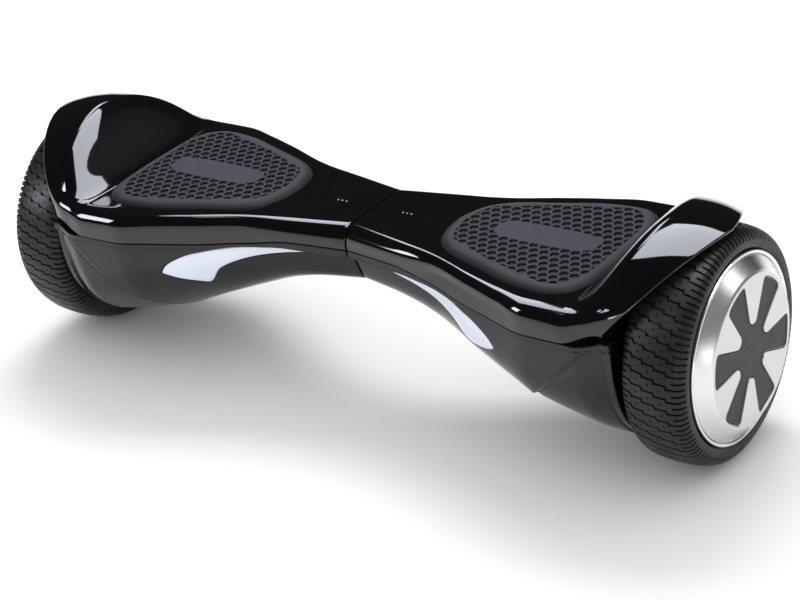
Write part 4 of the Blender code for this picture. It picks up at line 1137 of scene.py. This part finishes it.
def petal_outline(steps=6):
    """Six joined petals about the axle, in (y, z) from its centre."""
    points = []
    sector = 2 * np.pi / PETAL_COUNT
    for k in range(PETAL_COUNT):
        middle = np.radians(50.0) + k * np.pi / 3
        before, after = middle - sector / 2, middle + sector / 2
        # straight flank: from the tip corner, tangent to the tongue
        corner = polar(PETAL_R, middle - PETAL_HALF)
        tongue = polar(TONGUE_AT, before)
        to_corner = corner - tongue
        lean = np.arcsin(TONGUE_R / np.hypot(*to_corner))
        line = np.arctan2(to_corner[1], to_corner[0]) - lean
        inward = unit(tongue + TONGUE_R * polar(1.0, line + np.pi / 2) - corner)
        tip = polar(PETAL_R, middle - PETAL_HALF + PETAL_ROUND_ANGLE)
        for t in np.linspace(0, 1, steps + 1):
            points.append(bend(corner + inward * PETAL_ROUND, corner, tip, t))
        for s in np.linspace(-0.6, 0.6, 5):
            points.append(polar(PETAL_R, middle + s * (PETAL_HALF - PETAL_ROUND_ANGLE)))
        # the other corner, its flank mirrored in the petal's axis
        corner = polar(PETAL_R, middle + PETAL_HALF)
        across = polar(1.0, middle + np.pi / 2)
        inward = inward - 2 * across * (inward @ across)
        tip = polar(PETAL_R, middle + PETAL_HALF - PETAL_ROUND_ANGLE)
        for t in np.linspace(0, 1, steps + 1):
            points.append(bend(tip, corner, corner + inward * PETAL_ROUND, t))
        spread = np.pi / 2 - ((line - before + np.pi) % (2 * np.pi) - np.pi)
        for t in np.linspace(0.5, -0.5, 2 * steps + 1):
            points.append(polar(TONGUE_AT, after)
                          + polar(TONGUE_R, after + np.pi + t * 2 * spread))
    return np.array(points)


PETALS = petal_outline()


def petal_loft(name, levels):
    """Petal solid through (growth, x) levels."""
    return loft(name, [at_x(x, grow(PETALS, growth) + [0, AXLE_Z]) for growth, x in levels])


def build_wheels():
    for suffix, side in (("left", -1), ("right", 1)):
        piece(tyre("treaded_tyre_" + suffix, side), suffix + "_wheel", "tyre",
              "tyre_" + suffix, deg=38)
    rim = revolve("rim", fillet(RIM_PROFILE), WHEEL_SEGMENTS)
    pair(rim, "turned_rim", "wheel", "rim_polished", "rotor_rim", deg=40)
    hub = revolve("cap", fillet(HUB_PROFILE), WHEEL_SEGMENTS)
    cut(hub, petal_loft("cutter", [(0.0, POCKET_X - 0.0008), (0.0, FACE_X - 0.0003),
                                   (0.0003, FACE_X + 0.0001), (0.0003, FACE_X + 0.002)]))
    for obj in pair(hub, "hub_cover", "wheel", "hub_satin", "hub_cap", deg=30):
        # the conical ring is polished, the flat face is satin
        obj.data.materials.append(LOOK["rim_polished"])
        for face in obj.data.polygons:
            radius = math.hypot(face.center.y, face.center.z - AXLE_Z)
            if radius > CONE_R and abs(face.normal.x) < 0.93:
                face.material_index = 1
    insert = petal_loft("ins", [(-0.0008, POCKET_X - 0.0007), (-0.0008, POCKET_X + 0.0003),
                                (-0.0011, POCKET_X + 0.0006)])
    pair(insert, "petal_insert", "wheel", "insert_dark", "hub_insert", deg=30)


# ------------------------------------------------------------------ small fittings
def indicator_pipe():
    """Light pipe: a bar with a domed pin under each indicator hole."""
    foot = rectangle(0.0225, 0.0350, -0.004, 0.004)
    bar = loft("pipe", [at_z(z, foot) for z in (0.1290, 0.1320)])
    pin = solid((0.1310, 0.0008), (DECK_Z - 0.0006, 0.0008), (DECK_Z - 0.0004, 0.0006),
                (DECK_Z - 0.0003, 0.0003))
    for x in WINDOWS_X:
        join(bar, revolve("pin", pin, 24, (x, 0.0), "z"))
    return bar


def power_button():
    return revolve("power_push", fillet([
        (REAR_Y - 0.0125, 0, 0), (REAR_Y - 0.0125, 0.0100, 0.0003),
        (REAR_Y - 0.0104, 0.0100, 0), (REAR_Y - 0.0104, 0.0080, 0),
        (REAR_Y + 0.0014, 0.0080, 0.0006), (REAR_Y + 0.0010, 0.0060, 0.001),
        (REAR_Y + 0.0008, 0, 0)]), 64, BUTTON_XZ, "y")


def port_lid():
    """Round lid with a tab below it, made on the right and mirrored to the left half."""
    lid = revolve("lid", fillet([
        (REAR_Y + 0.0004, 0, 0), (REAR_Y + 0.0004, 0.0098, 0.0002),
        (REAR_Y + 0.0016, 0.0098, 0.0005), (REAR_Y + 0.0016, 0.0070, 0.0002),
        (REAR_Y + 0.0013, 0.0064, 0.0002), (REAR_Y + 0.0013, 0, 0)]), 64, BUTTON_XZ, "y")
    x, z = BUTTON_XZ
    tab = rectangle(x - 0.0035, x + 0.0035, z - 0.0125, z - 0.0080)
    join(lid, loft("tab", [at_y(y, tab) for y in (REAR_Y + 0.0004, REAR_Y + 0.0015)]))
    left = mirrored(lid, "charge_port_lid")
    bpy.data.objects.remove(lid)
    return left


# ------------------------------------------------------------------ build
pair(top_cover(), "deck_cover", "half", "cover_top", "top_cover")
lower = bottom_cover()
flange = shell_flange()
pair(lower, "lower_shell", "half", "cover_bottom", "bottom_cover")
flange.name = "shell_flange_right"
piece(mirrored(flange, "shell_flange_left"), "left_half", "cover_bottom")
piece(flange, "right_half", "cover_bottom")
pair(lamp_lens(), "lamp_window", "half", "lens", "lamp_lens")
pair(foot_mat(), "grip_mat", "mat", "mat_rubber", "foot_mat", deg=28)
build_wheels()
pair(indicator_pipe(), "indicator_window", "half", "lens", "indicator_pipe")
piece(power_button(), "power_button", "black_plastic", "power_button")
piece(port_lid(), "port_cap", "cap_rubber", "port_cap")


# ------------------------------------------------------------------ floor and world
def build_floor():
    material = bpy.data.materials.new("floor_paper")
    material.use_nodes = True
    tree = material.node_tree
    inputs = tree.nodes["Principled BSDF"].inputs
    clouds = node(tree, "ShaderNodeTexNoise", {"Scale": 3.0})
    tree.links.new(map_range(tree, clouds.outputs["Fac"], target=(0.90, 0.93)),
                   inputs["Base Color"])
    inputs["Roughness"].default_value = 0.65
    inputs["Specular IOR Level"].default_value = 0.25
    half = 14.0
    mesh = bpy.data.meshes.new("floor")
    mesh.from_pydata(at_z(0, rectangle(-half, half, -half, half)), [], [(0, 1, 2, 3)])
    floor = add_object("floor", mesh)
    floor.location.z = -0.0003
    floor.data.materials.append(material)


def build_world():
    """Pale surroundings; reflections see a dark studio that brightens towards +X."""
    world = bpy.data.worlds.new("studio")
    bpy.context.scene.world = world
    world.use_nodes = True
    tree = world.node_tree
    background = tree.nodes["Background"]
    glossy_ray = node(tree, "ShaderNodeLightPath").outputs["Is Glossy Ray"]
    direction = node(tree, "ShaderNodeTexCoord").outputs["Generated"]
    split = node(tree, "ShaderNodeSeparateXYZ", {0: direction})
    studio = map_range(tree, split.outputs[0], source=(0.25, 0.70), target=(0.016, 0.20))
    colour = mix_colour(tree, glossy_ray, (0.95, 0.95, 0.955, 1), studio)
    tree.links.new(colour, background.inputs["Color"])
    background.inputs["Strength"].default_value = 1.0


build_floor()
build_world()

# ------------------------------------------------------------------ lights
COOL = (0.88, 0.91, 1.0)
WHITE = (1, 1, 1)


def area(name, at, target, size, power, color=WHITE, spin=0.0, reflection_only=True):
    """Area light, seen either by reflections only or by diffuse surfaces only."""
    light = bpy.data.lights.new(name, "AREA")
    light.shape = "RECTANGLE"
    light.size, light.size_y = size
    light.energy = power
    light.color = color
    obj = add_object(name, light)
    obj.location = at
    aim = (Vector(target) - Vector(at)).to_track_quat("-Z", "Y")
    obj.rotation_mode = "QUATERNION"
    obj.rotation_quaternion = aim @ Matrix.Rotation(spin, 3, "Z").to_quaternion()
    obj.visible_camera = False
    obj.visible_diffuse = not reflection_only
    obj.visible_glossy = reflection_only


def panel_power(radiance, size):
    return radiance * math.pi * size[0] * size[1]


def overhead(name, x, y, size, radiance, spin=0.0):
    """Level panel over (x, y), facing down."""
    area(name, at=(x, y, 1.93), target=(x, y, 0.0), size=size,
         power=panel_power(radiance, size), color=COOL, spin=spin)


def softbox(name, azimuth, elevation, size, radiance, color=WHITE):
    """Panel aimed at the object; azimuth 0 is the front and 90 is the right."""
    distance, target_z = 2.2, 0.08
    turn, tilt = math.radians(azimuth), math.radians(elevation)
    at = (distance * math.sin(turn) * math.cos(tilt),
          -distance * math.cos(turn) * math.cos(tilt),
          target_z + distance * math.sin(tilt))
    area(name, at, (0, 0, target_z), size, panel_power(radiance, size), color=color)


area("key_soft", at=(-0.5, 1.1, 1.7), target=(0, 0, 0.08), size=(1.2, 0.7), power=24,
     reflection_only=False)
overhead("overhead", x=0.185, y=0.564, size=(1.92, 1.54), radiance=7.5)
overhead("overhead_side", x=-1.30, y=1.22, size=(1.8, 0.5), radiance=6.0,
         spin=math.radians(115.5))
softbox("front_left", azimuth=-47, elevation=24, size=(0.55, 0.75), radiance=14.0, color=COOL)
softbox("front_right", azimuth=33, elevation=2, size=(0.30, 0.45), radiance=10.0, color=COOL)
softbox("wheel_side", azimuth=124, elevation=27, size=(0.6, 0.5), radiance=2.0)
softbox("wheel_front", azimuth=74, elevation=-2, size=(0.35, 0.6), radiance=2.0)


# ------------------------------------------------------------------ camera
def build_camera(azimuth, elevation, roll, distance, target, lens):
    """Camera aimed at target; azimuth 0 is the front, angles in degrees, lens in mm."""
    turn, tilt, roll = (math.radians(angle) for angle in (azimuth, elevation, roll))
    back = np.array([math.sin(turn) * math.cos(tilt), -math.cos(turn) * math.cos(tilt),
                     math.sin(tilt)])
    level = np.array([math.cos(turn), math.sin(turn), 0.0])
    upright = np.cross(back, level)
    right = math.cos(roll) * level + math.sin(roll) * upright
    up = -math.sin(roll) * level + math.cos(roll) * upright
    data = bpy.data.cameras.new("camera")
    data.sensor_width = 36.0
    data.lens = lens
    data.clip_start, data.clip_end = 0.05, 100.0
    camera = bpy.data.objects.new("camera", data)
    matrix = Matrix(np.stack([right, up, back], 1).tolist()).to_4x4()
    matrix.translation = Vector(np.array(target) + back * distance)
    camera.matrix_world = matrix
    bpy.context.scene.collection.objects.link(camera)
    bpy.context.scene.camera = camera


build_camera(azimuth=38.18, elevation=27.54, roll=-7.393, distance=1.8712,
             target=(-0.0203, 0.0411, 0.0340), lens=112.1265)
bpy.context.scene.view_settings.view_transform = "Standard"
bpy.context.scene.view_settings.look = "None"
